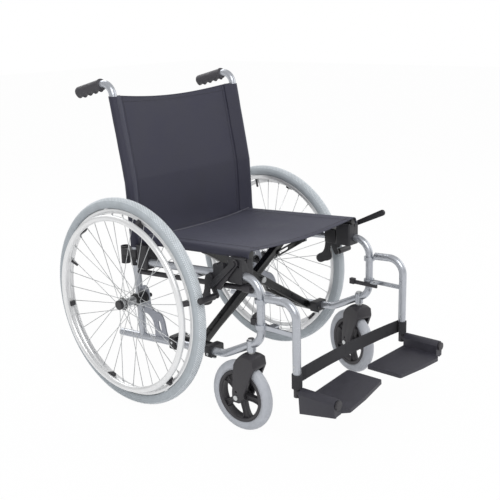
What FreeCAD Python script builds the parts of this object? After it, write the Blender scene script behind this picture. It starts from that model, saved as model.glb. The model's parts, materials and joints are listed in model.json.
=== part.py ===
import FreeCAD, Part
import Sketcher
import math
import os

Vector = FreeCAD.Vector
Placement = FreeCAD.Placement
Rotation = FreeCAD.Rotation

# A folding wheelchair: two tubular side frames, a cross brace, sling seat and back,
# spoked rear wheels, front castors, wheel brakes and swing-away footrests.
# X runs to the occupant's left, Y to the rear, Z up. Heights are over the floor, "ahead" is
# measured forward from the rear axle, "half" is measured sideways from the middle plane.

SIZES = (
    # whole chair
    ("frame_half", 251, "middle of the side frame's tubes"),
    ("seat_clearance", 0.3, "gap between pieces that only touch"),
    ("running_clearance", 0.05, "radial gap of shafts and pins"),
    ("overrun", 5, "how far a cutter reaches past the face it cuts"),
    # side frame
    ("tube_radius", 11, "frame tube, outside"),
    ("tube_bore", 9.4, "frame tube, inside"),
    ("upper_front_height", 441.5, "upper tube where it meets the front post"),
    ("upper_rear_height", 410, "upper tube where it meets the rear post"),
    ("post_ahead", 447, "front post"),
    ("upper_bend", 50, "bend between upper tube and front post"),
    ("lower_front_height", 271, "lower tube where it meets the front post"),
    ("lower_bend", 45, "bend under the front post"),
    ("knee_back", 132, "bend in the lower tube, behind the front post"),
    ("knee_height", 204, "the same bend"),
    ("knee_bend", 70, "radius of that bend"),
    ("tail_behind", 115, "open rear end of the lower tube"),
    ("tail_height", 170, "open rear end of the lower tube"),
    ("tail_bore_depth", 90, "depth of the socket in the open end"),
    ("post_foot_behind", 18, "rear post at its foot"),
    ("post_foot_height", 178, "rear post at its foot"),
    ("cane_bend_behind", 40, "back cane at its bend"),
    ("cane_bend_height", 640, "back cane at its bend"),
    ("post_top_height", 422, "joint between rear post and back cane"),
    ("stay_lug_thick", 5, "lug for the stay under the upper tube"),
    ("stay_lug_drop", 26, "how far the lug hangs below the tube's middle"),
    ("stay_lug_inset", 19, "stay pivot inboard of the tube's middle"),
    ("stay_lug_width", 12, "half width of the lug"),
    # back cane and grip
    ("cane_top_behind", 97, "corner where the cane turns into the handle"),
    ("cane_top_height", 923, "the same"),
    ("cane_low_bend", 220, "radius of the cane's gentle bend"),
    ("cane_top_bend", 36, "radius of the handle's bend"),
    ("handle_end_behind", 236, "rear end of the handle tube"),
    ("handle_end_height", 888, "the same"),
    ("grip_length", 104, "rubber grip"),
    ("grip_radius", 16, "the same"),
    ("grip_end", 7, "closed end of the grip"),
    ("grip_collar", 17.5, "rim at the grip's front end"),
    ("grip_collar_length", 8, "the same"),
    ("finger_depth", 21, "finger ridges below the grip's middle"),
    ("finger_width", 20, "the same, across"),
    ("finger_radius", 11, "hollow for one finger"),
    ("finger_sink", 5, "depth of that hollow"),
    # rear socket for an armrest
    ("socket_behind", 76, "armrest socket behind the axle"),
    ("socket_radius", 13.5, "outside"),
    ("socket_bore", 9.8, "inside"),
    ("socket_low", 396, "lower end"),
    ("socket_high", 448, "upper end"),
    ("socket_clamp_low", 424, "clamp round the cane, lower face"),
    ("socket_clamp_high", 444, "clamp round the cane, upper face"),
    ("socket_clamp_wall", 5, "wall of the clamp"),
    # axle plate and axle
    ("plate_thick", 5, "axle plate"),
    ("plate_boss", 17, "round eye of the axle plate"),
    ("plate_neck", 13, "half width of the plate below the eye"),
    ("plate_foot_ahead", 84, "plate's foot on the lower tube"),
    ("plate_slot", 5, "half width of the slot in the plate"),
    ("axle_radius", 6.35, "quick-release axle"),
    ("axle_inner_half", 229, "inner end of the axle"),
    ("axle_nut_radius", 9.5, "nut on the inner side"),
    ("axle_nut_length", 9, "the same"),
    ("receiver_radius", 14, "black axle sleeve"),
    ("receiver_flange", 18, "its flange on the plate"),
    ("receiver_flange_length", 8, "the same"),
    # rear wheel
    ("wheel_radius", 305, "over the tyre"),
    ("wheel_half", 318, "middle plane of the wheel"),
    ("tyre_width", 35, "tyre"),
    ("rim_radius", 275, "rim edge"),
    ("rim_width", 25, "rim"),
    ("rim_inner", 260, "rim inside"),
    ("rim_well", 6, "depth of the tyre bed"),
    ("rim_flange", 2, "thickness of the rim's edges"),
    ("hub_radius", 15, "hub barrel"),
    ("flange_radius", 25, "spoke flange"),
    ("flange_thick", 3, "the same"),
    ("flange_spread", 20, "flange from the wheel's middle plane"),
    ("hub_spread", 27, "end of the hub from the middle plane"),
    ("spoke_radius", 1.1, "spoke"),
    ("spoke_circle", 21, "spoke holes in the flange"),
    ("spoke_angle", 62, "how far a spoke lies back from straight out, at the hub"),
    ("button_radius", 14, "axle button"),
    ("button_length", 7, "the same"),
    ("button_edge", 1.5, "its bevelled rim"),
    ("button_travel", 3, "how far it is pressed"),
    ("axle_nose", 5, "axle's end outside the hub"),
    ("handrim_radius", 261.5, "over the hand rim"),
    ("handrim_tube", 9, "radius of its tube"),
    ("handrim_offset", 31, "hand rim outboard of the wheel"),
    ("tab_width", 12, "hand rim holders"),
    ("tab_thick", 5, "the same"),
    # castor
    ("castor_radius", 100, "castor wheel"),
    ("castor_width", 32, "its tyre"),
    ("castor_rim", 74, "its plastic wheel"),
    ("castor_rim_inner", 64, "inside of the wheel's ring"),
    ("castor_rim_width", 26, "the same, across"),
    ("castor_web", 12, "thickness of the arms"),
    ("castor_arm", 15, "width of the arms at the hub"),
    ("castor_arm_end", 12, "width of the arms at the ring"),
    ("castor_hub", 17, "its hub"),
    ("castor_hub_width", 36, "the same, across"),
    ("castor_axle", 5, "axle bolt"),
    ("castor_bolt_head", 7, "head of the axle bolt"),
    ("castor_bolt_height", 3, "the same"),
    ("castor_trail", 35, "axle behind the stem"),
    ("stem_back", 36, "castor stem, behind the front post"),
    ("stem_radius", 6, "castor stem"),
    ("stem_sleeve", 12.6, "sleeve welded through the lower tube"),
    ("stem_sleeve_low", 235, "its lower end"),
    ("stem_sleeve_high", 265, "its upper end"),
    ("stem_nut", 8.5, "nut on top"),
    ("stem_nut_height", 5, "the same"),
    ("stem_collar", 9, "collar between fork and sleeve"),
    ("fork_high", 229, "top of the fork"),
    ("fork_crown", 21, "half length of the fork's top"),
    ("fork_dome", 60, "radius of the fork's domed top"),
    ("fork_gap", 21, "half gap between the fork's arms"),
    ("fork_wall", 7, "thickness of the fork's arms"),
    ("fork_roof", 7, "space over the tyre"),
    ("fork_foot", 14, "radius of the arm's foot"),
    ("fork_shoulder", 27, "half width of the fork below its top"),
    ("fork_shoulder_height", 196, "height of that shoulder"),
    ("fork_hole", 3, "small hole over the axle"),
    ("left_swivel_angle", -16.8, "left castor turned, degrees"),
    ("right_swivel_angle", 1.5, "right castor turned, degrees"),
    # cross brace
    ("pivot_half", 226, "lower pivots of the brace"),
    ("pivot_height", 198, "the same"),
    ("cross_height", 339, "centre bolt"),
    ("brace_a_ahead", 200, "member from the right foot to the left rail"),
    ("brace_b_ahead", 230, "member from the left foot to the right rail"),
    ("brace_deep", 22, "member, front to back"),
    ("brace_high", 25, "member, the other way"),
    ("brace_corner", 4, "its rounded corners"),
    ("brace_short", 6, "member ends short of the rail's middle"),
    ("rail_half", 232, "seat rails"),
    ("rail_tilt_angle", 3.4, "seat rails, degrees up to the front"),
    ("rail_front_back", 46, "front end of the rails, behind the front post"),
    ("rail_rear_behind", 10, "rear end of the rails"),
    ("pivot_tube_radius", 12.5, "pivot tube at the member's foot"),
    ("pivot_pin", 8, "pins at its ends"),
    ("bracket_front_ahead", 263, "front brace bracket"),
    ("bracket_rear_ahead", 121, "rear brace bracket"),
    ("bracket_thick", 22, "along the tube"),
    ("bracket_wall", 5, "round tube and pin"),
    ("bracket_bolt", 5, "bolt under the bracket"),
    ("bracket_bolt_drop", 7, "the same"),
    ("strut_drop", 27, "thin strut below the member"),
    ("strut_high", 9, "the same"),
    ("strut_deep", 12, "the same"),
    ("strut_start_share", 0.12, "where the strut starts, between centre bolt and pivot"),
    ("cross_bolt", 5, "centre bolt"),
    ("cross_bolt_head", 9, "its head"),
    ("cross_bolt_height", 5, "the same"),
    ("stay_thick", 4.5, "stay between side frame and brace"),
    ("stay_wide", 9, "half width"),
    ("stay_slot", 4.6, "half width of its slot"),
    ("stay_slot_length", 40, "the same"),
    ("stay_reach", 124, "pivot to the outer end of the slot"),
    ("stay_rise_angle", -9, "angle of the stay, degrees"),
    ("stay_pin", 4, "its pivot"),
    # seat cradles
    ("cradle_front_back", 76, "front cradle, behind the front post"),
    ("cradle_front_long", 50, "along the tube"),
    ("cradle_rear_ahead", 11, "rear cradle"),
    ("cradle_rear_long", 44, "the same"),
    ("cradle_wall", 5, "round the tube"),
    ("cradle_cup", 4, "rail sinks this far into the cup"),
    ("cradle_inner", 15, "cup's inboard side from the rail's middle"),
    ("cradle_hole", 3, "small hole in its side"),
    ("cradle_pin", 3.5, "pin below the front cradle"),
    ("cradle_pin_drop", 4, "the same"),
    # brake
    ("brake_plate_gap", 3, "brake plate outboard of the tube"),
    ("brake_plate_thick", 4, "the same"),
    ("brake_block_ahead", 312, "clamp round the upper tube"),
    ("brake_block_long", 42, "the same"),
    ("brake_block_wall", 5, "the same"),
    ("brake_pivot_ahead", 318, "lever pivot"),
    ("brake_pivot_height", 404, "the same"),
    ("brake_pin", 4, "radius of the brake's pins"),
    ("lever_hinge_ahead", 377, "hinge between lever and handle"),
    ("lever_hinge_height", 474, "the same"),
    ("lever_half", 10, "half width of the lever"),
    ("lever_thick", 5, "the same"),
    ("lever_gap", 0.5, "side gap between the brake's parts"),
    ("handle_long", 114, "handle from its hinge to its tip"),
    ("handle_half", 9, "half width at the tip"),
    ("handle_neck", 7, "half width at the hinge"),
    ("handle_thick", 7, "the same"),
    ("handle_open_angle", 26, "handle angle when open, degrees over forward"),
    ("handle_folded_angle", 222.6, "handle angle when folded down"),
    ("shoe_pivot_ahead", 286, "shoe pivot"),
    ("shoe_pivot_height", 420, "the same"),
    ("shoe_ahead", 311, "brake shoe at rest"),
    ("shoe_height", 375, "the same"),
    ("shoe_radius", 9, "the same"),
    ("shoe_length", 40, "across the tyre"),
    ("shoe_pin", 5, "thin inner end of the shoe, which the folded handle passes"),
    ("shoe_arm", 8, "half width of the shoe's arm"),
    ("shoe_arm_thick", 5, "the same"),
    # hanger and footplate
    ("hanger_reach", 117, "upright of the footrest hanger, ahead of the front post"),
    ("hanger_height", 398, "its upper corner"),
    ("hanger_root_height", 392, "its rear end"),
    ("hanger_bend", 45, "its bend"),
    ("hanger_low", 206, "lower end of its tube"),
    ("hanger_start", 21, "rear end of its tube, ahead of the post"),
    ("saddle_radius", 16, "rings round the front post"),
    ("saddle_upper", 376, "lower face of the upper ring"),
    ("saddle_lower", 306, "lower face of the lower ring"),
    ("saddle_high", 12, "height of the rings"),
    ("saddle_plate", 5, "thickness of the strut and web"),
    ("foot_tube", 9, "inner tube of the footrest"),
    ("foot_tube_inside", 45, "how far it sits in the hanger"),
    ("foot_tube_low", 146, "its lower end"),
    ("hinge_height", 160, "footplate hinge"),
    ("hinge_pin", 8, "the same"),
    ("hinge_start_reach", 16, "rear end of the footplate's barrel, ahead of the upright"),
    ("hinge_end_back", 16, "front end of the barrel, behind the plate's front edge"),
    ("hinge_cap", 12, "cap on the hinge pin"),
    ("hinge_cap_length", 7, "the same"),
    ("barrel_radius", 15, "barrel of the footplate"),
    ("housing_out", 15.5, "footplate's outer wall, outboard of the barrel's middle"),
    ("housing_low", 107, "its lower edge"),
    ("housing_high", 166, "its upper edge"),
    ("housing_wall", 8, "thickness of its lower part"),
    ("housing_corner", 3, "its rounded corners"),
    ("plate_reach", 142, "front edge of the footplate, ahead of the upright"),
    ("plate_top", 139, "top of the footplate"),
    ("plate_deep", 11, "its thickness"),
    ("plate_rear_reach", 14, "its rear edge, ahead of the upright"),
    ("plate_inner_half", 47, "its inner edge"),
    ("plate_side_back", 18, "front end of its inner edge, behind the front edge"),
    ("plate_corner", 12, "its rounded corners"),
    ("left_plate_tilt_angle", 0, "left footplate turned up, degrees"),
    ("right_plate_tilt_angle", 5, "right footplate turned up, degrees"),
    ("release_half", 231, "release lever beside the post"),
    ("release_thick", 6, "the same"),
    ("release_high", 11, "the same"),
    ("release_height", 301, "its lower edge"),
    ("release_front_reach", 41, "its front end, ahead of the post"),
    ("release_rear_back", 52, "its rear end, behind the post"),
    ("release_pivot_reach", 31, "its pivot, ahead of the post"),
    ("release_ear_gap", 0.3, "gap between the lever and its ear"),
    ("release_pad", 16, "length of its thumb pad"),
    ("release_pad_high", 17, "the same"),
    ("release_pad_out", 6, "how far the pad stands inboard"),
    ("release_pin", 3, "its pivot pin"),
    # side rail on the right
    ("side_rail_radius", 7.5, "black rail under the right upper tube"),
    ("side_rail_drop", 32, "below the upper tube"),
    ("side_rail_back", 29, "its front end, behind the front post"),
    ("side_rail_cap", 11.5, "socket at its front end"),
    ("side_rail_cap_long", 28, "the same"),
    # seat, back and calf strap
    ("cloth", 2, "thickness of the seat and the back"),
    ("seat_sag", 12, "seat's middle below its sides"),
    ("seat_flap", 18, "drop of the seat's side flap below the rail's top"),
    ("seat_front_back", 43, "front edge of the seat, behind the front post"),
    ("seat_rear_behind", 17, "rear edge of the seat"),
    ("back_low", 452, "lower edge of the back"),
    ("back_high", 878, "upper edge of the back"),
    ("back_sag", 16, "back's middle behind the canes"),
    ("strap_high", 40, "calf strap"),
    ("strap_low", 170, "its lower edge"),
    ("strap_thick", 2, "the same"),
    ("strap_sag", 14, "strap's middle behind its ends"),
)

doc = FreeCAD.newDocument("wheelchair")
sizes = doc.addObject("Spreadsheet::Sheet", "sizes")
for row, (alias, value, note) in enumerate(SIZES, 1):
    sizes.set(f"A{row}", note)
    sizes.set(f"B{row}", str(value))
    sizes.setAlias(f"B{row}", alias)
doc.recompute()

SIDES = ((1, "left"), (-1, "right"))
FULL_TURN = 360
RIGHT_ANGLE = 90
SPOKES = 36
TABS = 6
CASTOR_ARMS = 5
FINGERS = 4
SECTION_SIDES = 10
FIRST_TAB_ANGLE = 18
SPOKE_SIDES = 6
BEAD_SHARE = 0.64
SIDE_SHARE = 0.05
SHOULDER_WIDE_SHARE = 0.8
SHOULDER_HIGH_SHARE = 0.62
CROWN_SHARE = 0.32
CASTOR_BEAD_SHARE = 0.75
CASTOR_SIDE_SHARE = 0.9
CASTOR_SHOULDER_SHARE = 0.66
CASTOR_CROWN_SHARE = 0.2
HANDLE_RECESS_SHARE = 1 / 3
PLATE_CORNER_SHARE = 1 / 4
PLATE_CURVE_SHARE = 3 / 4
FORK_ROUND_SHARE = 0.7

X_AXIS = Vector(1, 0, 0)
Y_AXIS = Vector(0, 1, 0)
Z_AXIS = Vector(0, 0, 1)

nodes = {}


# Places worked out from the sheet

hanger_ahead = sizes.post_ahead + sizes.hanger_reach
front_reach = hanger_ahead + sizes.plate_reach
axle_back = (front_reach - sizes.wheel_radius) / 2
axle_height = sizes.wheel_radius
knee_ahead = sizes.post_ahead - sizes.knee_back
stem_ahead = sizes.post_ahead - sizes.stem_back
rail_front_ahead = sizes.post_ahead - sizes.rail_front_back
cradle_front_ahead = sizes.post_ahead - sizes.cradle_front_back
side_rail_end = sizes.post_ahead - sizes.side_rail_back
seat_front_ahead = sizes.post_ahead - sizes.seat_front_back
hinge_start = hanger_ahead + sizes.hinge_start_reach
hinge_end = front_reach - sizes.hinge_end_back
plate_rear = hanger_ahead + sizes.plate_rear_reach
plate_side_front = front_reach - sizes.plate_side_back
release_front = sizes.post_ahead + sizes.release_front_reach
release_rear = sizes.post_ahead - sizes.release_rear_back
release_pivot = sizes.post_ahead + sizes.release_pivot_reach
post_lean = (sizes.cane_bend_behind - sizes.post_foot_behind) / (sizes.cane_bend_height - sizes.post_foot_height)
rail_slope = math.tan(math.radians(sizes.rail_tilt_angle))
brace_rise = (sizes.cross_height - sizes.pivot_height) / sizes.pivot_half
rail_height = sizes.cross_height + brace_rise * sizes.rail_half


def at(half, ahead, height):
    """A place from its distance sideways, its distance ahead of the rear axle and its height."""
    return Vector(half, axle_back - ahead, height)


def post_behind(height):
    """The rear post's and the lower cane's distance behind the axle at a height."""
    return sizes.post_foot_behind + post_lean * (height - sizes.post_foot_height)


def upper_tube_height(ahead):
    run = sizes.post_ahead + post_behind(sizes.upper_rear_height)
    slope = (sizes.upper_front_height - sizes.upper_rear_height) / run
    return sizes.upper_front_height - slope * (sizes.post_ahead - ahead)


def lower_tube_height(ahead):
    slope = (sizes.knee_height - sizes.tail_height) / (knee_ahead + sizes.tail_behind)
    return sizes.knee_height - slope * (knee_ahead - ahead)


def seat_rail_height(ahead):
    """Height of the seat rails' middle, which meets the ends of the brace members."""
    between = (sizes.brace_a_ahead + sizes.brace_b_ahead) / 2
    return rail_height + rail_slope * (ahead - between)


# Shapes that several pieces are made of

def add(name, shape):
    """Puts a finished piece into the document under its node's name."""
    piece = doc.addObject("Part::Feature", name)
    piece.Shape = shape
    piece.Label = name
    nodes[name] = piece
    return piece


def corner_arc(before, corner, after, radius):
    """The two tangent points and the middle of the arc that rounds a corner."""
    back = (before - corner).normalize()
    forth = (after - corner).normalize()
    half_angle = back.getAngle(forth) / 2
    run = radius / math.tan(half_angle)
    middle_line = (back + forth).normalize()
    centre = corner + middle_line * (radius / math.sin(half_angle))
    return corner + back * run, centre - middle_line * radius, corner + forth * run


def rounded_face(points, radius):
    """A flat face with straight sides and rounded corners."""
    edges = []
    arcs = [corner_arc(points[i - 1], points[i], points[(i + 1) % len(points)], radius)
            for i in range(len(points))]
    for i, (first, middle, last) in enumerate(arcs):
        edges.append(Part.LineSegment(arcs[i - 1][2], first).toShape())
        edges.append(Part.Arc(first, middle, last).toShape())
    return Part.Face(Part.Wire(edges))


def flat_face(points):
    return Part.Face(Part.makePolygon(points + [points[0]]))


def rod(start, end, radius):
    run = end - start
    return Part.makeCylinder(radius, run.Length, start, run)


def swept(face, points, radii):
    """Carries a face along straight runs and tangent bends."""
    pieces = []
    place = points[0]
    for i, radius in enumerate(radii, 1):
        first, middle, last = corner_arc(points[i - 1], points[i], points[i + 1], radius)
        pieces.append(face.extrude(first - place))
        face = face.translated(first - place)
        arc = Part.Arc(first, middle, last).toShape()
        circle = arc.Curve
        turn = math.degrees(arc.LastParameter - arc.FirstParameter)
        pieces.append(face.revolve(circle.Center, circle.Axis, turn))
        face.rotate(circle.Center, circle.Axis, turn)
        place = last
    pieces.append(face.extrude(points[-1] - place))
    return pieces[0].fuse(pieces[1:])


def bent_rod(points, radii, radius):
    circle = Part.Wire(Part.makeCircle(radius, points[0], points[1] - points[0]))
    return swept(Part.Face(circle), points, radii)


def block(half_a, half_b, ahead_a, ahead_b, low, high):
    """A box between two places sideways, two places ahead of the axle and two heights."""
    corner = at(min(half_a, half_b), max(ahead_a, ahead_b), low)
    return Part.makeBox(abs(half_b - half_a), abs(ahead_b - ahead_a), high - low, corner)


def bar_between(start, end, half_width, thick, across):
    """A flat bar with round ends, from one pivot to another, its thickness along across."""
    run = end - start
    side = run.cross(across).normalize() * half_width
    face = flat_face([start + side, end + side, end - side, start - side])
    bar = face.extrude(across * thick)
    for place in (start, end):
        bar = bar.fuse(Part.makeCylinder(half_width, thick, place, across))
    return bar.removeSplitter()


def plane_of(body, role):
    return next(feature for feature in body.Origin.OriginFeatures if feature.Role == role)


def worth(text):
    return float(sizes.evalExpression(text))


def outline(sketch, corners):
    """Draws a closed outline whose corners stay bound to the sheet."""
    places = [Vector(worth(u), worth(v), 0) for u, v in corners]
    count = len(places)
    sketch.addGeometry([Part.LineSegment(places[i], places[(i + 1) % count]) for i in range(count)])
    for i in range(count):
        sketch.addConstraint(Sketcher.Constraint("Coincident", i, 2, (i + 1) % count, 1))
    for i, (u, v) in enumerate(corners):
        for kind, text, value in (("DistanceX", u, places[i].x), ("DistanceY", v, places[i].y)):
            number = sketch.addConstraint(Sketcher.Constraint(kind, -1, 1, i, 1, value))
            sketch.setExpression(f"Constraints[{number}]", text)


def sketch_on(body, name, role, corners):
    sketch = body.newObject("Sketcher::SketchObject", name)
    sketch.AttachmentSupport = [(plane_of(body, role), "")]
    sketch.MapMode = "FlatFace"
    outline(sketch, corners)
    return sketch


def ring_body(name, corners):
    """A body turned about the X axis from an outline in half-width and radius."""
    body = doc.addObject("PartDesign::Body", name)
    body.Label = name
    profile = sketch_on(body, f"{name}_profile", "XY_Plane", corners)
    turned = body.newObject("PartDesign::Revolution", f"{name}_ring")
    turned.Profile = profile
    turned.ReferenceAxis = (profile, ["H_Axis"])
    turned.Angle = FULL_TURN
    nodes[name] = body
    return body


def tube_section(middle_radius, tube_radius, sides):
    """Corners of a round section, as expressions in half-width and radius."""
    corners = []
    for i in range(sides):
        angle = (i + 0.5) * FULL_TURN / sides
        corners.append((f"({tube_radius}) * sin({angle})", f"{middle_radius} + ({tube_radius}) * cos({angle})"))
    return corners


def place_at(body, half, ahead, height):
    """Binds a body's place to the sheet."""
    axle = "(sizes.post_ahead + sizes.hanger_reach + sizes.plate_reach - sizes.wheel_radius) / 2"
    body.setExpression("Placement.Base.x", half)
    body.setExpression("Placement.Base.y", f"{axle} - ({ahead})")
    body.setExpression("Placement.Base.z", height)


# Side frames

def side_frame(side, name):
    """One bent tube: upper tube, front post, sloping run and lower tube with its open end."""
    half = side * sizes.frame_half
    rear = at(half, -post_behind(sizes.upper_rear_height), sizes.upper_rear_height)
    upper_corner = at(half, sizes.post_ahead, sizes.upper_front_height)
    lower_corner = at(half, sizes.post_ahead, sizes.lower_front_height)
    knee = at(half, knee_ahead, sizes.knee_height)
    tail = at(half, -sizes.tail_behind, sizes.tail_height)
    radii = (sizes.upper_bend, sizes.lower_bend, sizes.knee_bend)
    tube = bent_rod([rear, upper_corner, lower_corner, knee, tail], radii, sizes.tube_radius)
    tube = tube.cut(rear_upright(side, sizes.tube_radius))
    inward = (knee - tail).normalize()
    tube = tube.cut(rod(tail - inward * sizes.overrun, tail + inward * sizes.tail_bore_depth, sizes.tube_bore))
    stem_low = at(half, stem_ahead, sizes.stem_sleeve_low)
    stem_high = at(half, stem_ahead, sizes.stem_sleeve_high)
    tube = tube.fuse(rod(stem_low, stem_high, sizes.stem_sleeve))
    reach = Z_AXIS * sizes.overrun
    nut_space = rod(stem_high, stem_high + reach * 2, sizes.stem_sleeve)
    tube = tube.cut(nut_space)
    tube = tube.cut(rod(stem_low - reach, stem_high + reach, sizes.stem_radius + sizes.running_clearance))
    tube = tube.fuse(stay_lug(side)).removeSplitter()
    add(f"{name}_side_frame", tube)


def stay_plane(side):
    """Rear face of a stay, ahead of the axle: it lies beside its own brace member."""
    if side > 0:
        return sizes.brace_a_ahead + sizes.brace_deep / 2 + sizes.seat_clearance
    return sizes.brace_b_ahead - sizes.brace_deep / 2 - sizes.seat_clearance - sizes.stay_thick


def stay_pivot(side):
    ahead = stay_plane(side)
    height = upper_tube_height(ahead) - sizes.stay_lug_drop + sizes.stay_lug_width
    return at(side * (sizes.frame_half - sizes.stay_lug_inset), ahead, height)


def stay_lug(side):
    """A small plate under the upper tube with the hole for the stay's pivot."""
    pivot = stay_pivot(side)
    front = stay_plane(side) - sizes.seat_clearance
    tube_height = upper_tube_height(front)
    low = tube_height - sizes.stay_lug_drop
    half = side * sizes.frame_half
    lug = block(pivot.x - side * sizes.stay_lug_width, half, front - sizes.stay_lug_thick, front, low, tube_height)
    hole_start = pivot - Y_AXIS * sizes.overrun
    hole_end = pivot + Y_AXIS * (sizes.stay_lug_thick + sizes.overrun)
    return lug.cut(rod(hole_start, hole_end, sizes.stay_pin + sizes.running_clearance))


def rear_upright(side, radius):
    """The rear post's straight rod, from the lower tube to the back cane's joint."""
    half = side * sizes.frame_half
    foot = at(half, -sizes.post_foot_behind, sizes.post_foot_height)
    top = at(half, -post_behind(sizes.post_top_height), sizes.post_top_height)
    return rod(foot, top, radius)


def axle_plate(side):
    """A flat plate with the axle's eye, a waist and a foot on the lower tube."""
    half = side * sizes.frame_half - sizes.plate_thick / 2
    neck = sizes.plate_neck
    foot = sizes.plate_foot_ahead
    foot_height = lower_tube_height(foot)
    post = post_behind(axle_height)
    waist_height = (axle_height + foot_height) / 2
    boss = sizes.plate_boss
    points = [
        at(half, -post, axle_height + boss),
        at(half, neck, axle_height + boss),
        at(half, boss + neck / 2, axle_height - boss),
        at(half, foot / 2 + neck, waist_height + neck / 2),
        at(half, foot + neck, waist_height - neck),
        at(half, foot + neck, foot_height),
        at(half, foot - neck, foot_height),
        at(half, foot / 2 - neck / 2, waist_height - neck),
        at(half, -neck / 2, axle_height - boss - neck),
        at(half, -post, axle_height - boss - neck),
    ]
    plate = rounded_face(points, sizes.plate_slot).extrude(X_AXIS * sizes.plate_thick)
    middle = X_AXIS * (sizes.plate_thick / 2)
    reach = X_AXIS * (sizes.plate_thick + sizes.overrun)
    eye = at(half, 0, axle_height) + middle
    plate = plate.cut(rod(eye - reach, eye + reach, sizes.receiver_radius))
    slot_low = at(half, foot, foot_height + sizes.tube_radius + neck)
    slot_high = at(half, foot, waist_height - 2 * neck)
    if slot_high.z > slot_low.z:
        slot = bar_between(slot_low - reach, slot_high - reach, sizes.plate_slot, 2 * reach.Length, X_AXIS)
        plate = plate.cut(slot)
    return plate


def rear_post(side, name):
    """Rear post and axle plate, welded together and seated on the lower tube."""
    half = side * sizes.frame_half
    knee = at(half, knee_ahead, sizes.knee_height)
    tail = at(half, -sizes.tail_behind, sizes.tail_height)
    post = rear_upright(side, sizes.tube_radius).fuse(axle_plate(side))
    post = post.cut(rod(tail, knee, sizes.tube_radius)).removeSplitter()
    add(f"{name}_rear_post", max(post.Solids, key=lambda solid: solid.Volume))


def cane_points(side):
    half = side * sizes.frame_half
    start = sizes.post_top_height + sizes.seat_clearance
    return [
        at(half, -post_behind(start), start),
        at(half, -sizes.cane_bend_behind, sizes.cane_bend_height),
        at(half, -sizes.cane_top_behind, sizes.cane_top_height),
        at(half, -sizes.handle_end_behind, sizes.handle_end_height),
    ]


def back_cane(side, name):
    radii = (sizes.cane_low_bend, sizes.cane_top_bend)
    add(f"{name}_back_cane", bent_rod(cane_points(side), radii, sizes.tube_radius))


def grip(side, name):
    """A rubber grip with a collar, a closed end and four finger hollows underneath."""
    corner, end = cane_points(side)[-2:]
    along = (end - corner).normalize()
    down = along.cross(X_AXIS).normalize()
    if down.z > 0:
        down = -down
    start = end - along * sizes.grip_length
    tip = end + along * sizes.grip_end
    body = rod(start, tip, sizes.grip_radius)
    body = body.fuse(rod(start, start + along * sizes.grip_collar_length, sizes.grip_collar))
    side_step = X_AXIS * (sizes.finger_width / 2)
    ridge_start = start + along * sizes.grip_collar_length
    ridge = flat_face([
        ridge_start - side_step,
        tip - side_step,
        tip - side_step + down * sizes.finger_depth,
        ridge_start - side_step + down * sizes.finger_depth,
    ]).extrude(side_step * 2)
    body = body.fuse(ridge)
    pitch = (tip - ridge_start).Length / FINGERS
    hollow_drop = sizes.finger_depth + sizes.finger_radius - sizes.finger_sink
    for i in range(FINGERS):
        place = ridge_start + along * (pitch * (i + 1 / 2)) + down * hollow_drop
        body = body.cut(rod(place - side_step * 2, place + side_step * 2, sizes.finger_radius))
    bore = rod(start - along * sizes.overrun, end, sizes.tube_radius + sizes.running_clearance)
    add(f"{name}_grip", body.cut(bore).removeSplitter())


def armrest_socket(side, name):
    """A clamp round the cane that carries an upright socket behind it."""
    half = side * sizes.frame_half
    low = at(half, -sizes.socket_behind, sizes.socket_low)
    high = at(half, -sizes.socket_behind, sizes.socket_high)
    clamp_half = sizes.tube_radius + sizes.socket_clamp_wall
    cane_behind = post_behind(sizes.socket_clamp_low)
    piece = block(half - clamp_half, half + clamp_half, clamp_half - cane_behind, -sizes.socket_behind,
                  sizes.socket_clamp_low, sizes.socket_clamp_high)
    piece = piece.makeFillet(sizes.socket_clamp_wall, [edge for edge in piece.Edges if upright(edge)])
    piece = piece.fuse(rod(low, high, sizes.socket_radius))
    reach = Z_AXIS * sizes.overrun
    piece = piece.cut(rod(low - reach, high + reach, sizes.socket_bore))
    bottom = at(half, -post_behind(sizes.post_top_height), sizes.post_top_height)
    bend = at(half, -sizes.cane_bend_behind, sizes.cane_bend_height)
    piece = piece.cut(rod(bottom, bend, sizes.tube_radius + sizes.running_clearance))
    add(f"{name}_armrest_socket", piece.removeSplitter())


def upright(edge):
    """Whether a straight edge runs up and down."""
    if not isinstance(edge.Curve, Part.Line):
        return False
    return abs(edge.Curve.Direction.z) > math.cos(math.radians(RIGHT_ANGLE / 2))


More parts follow.
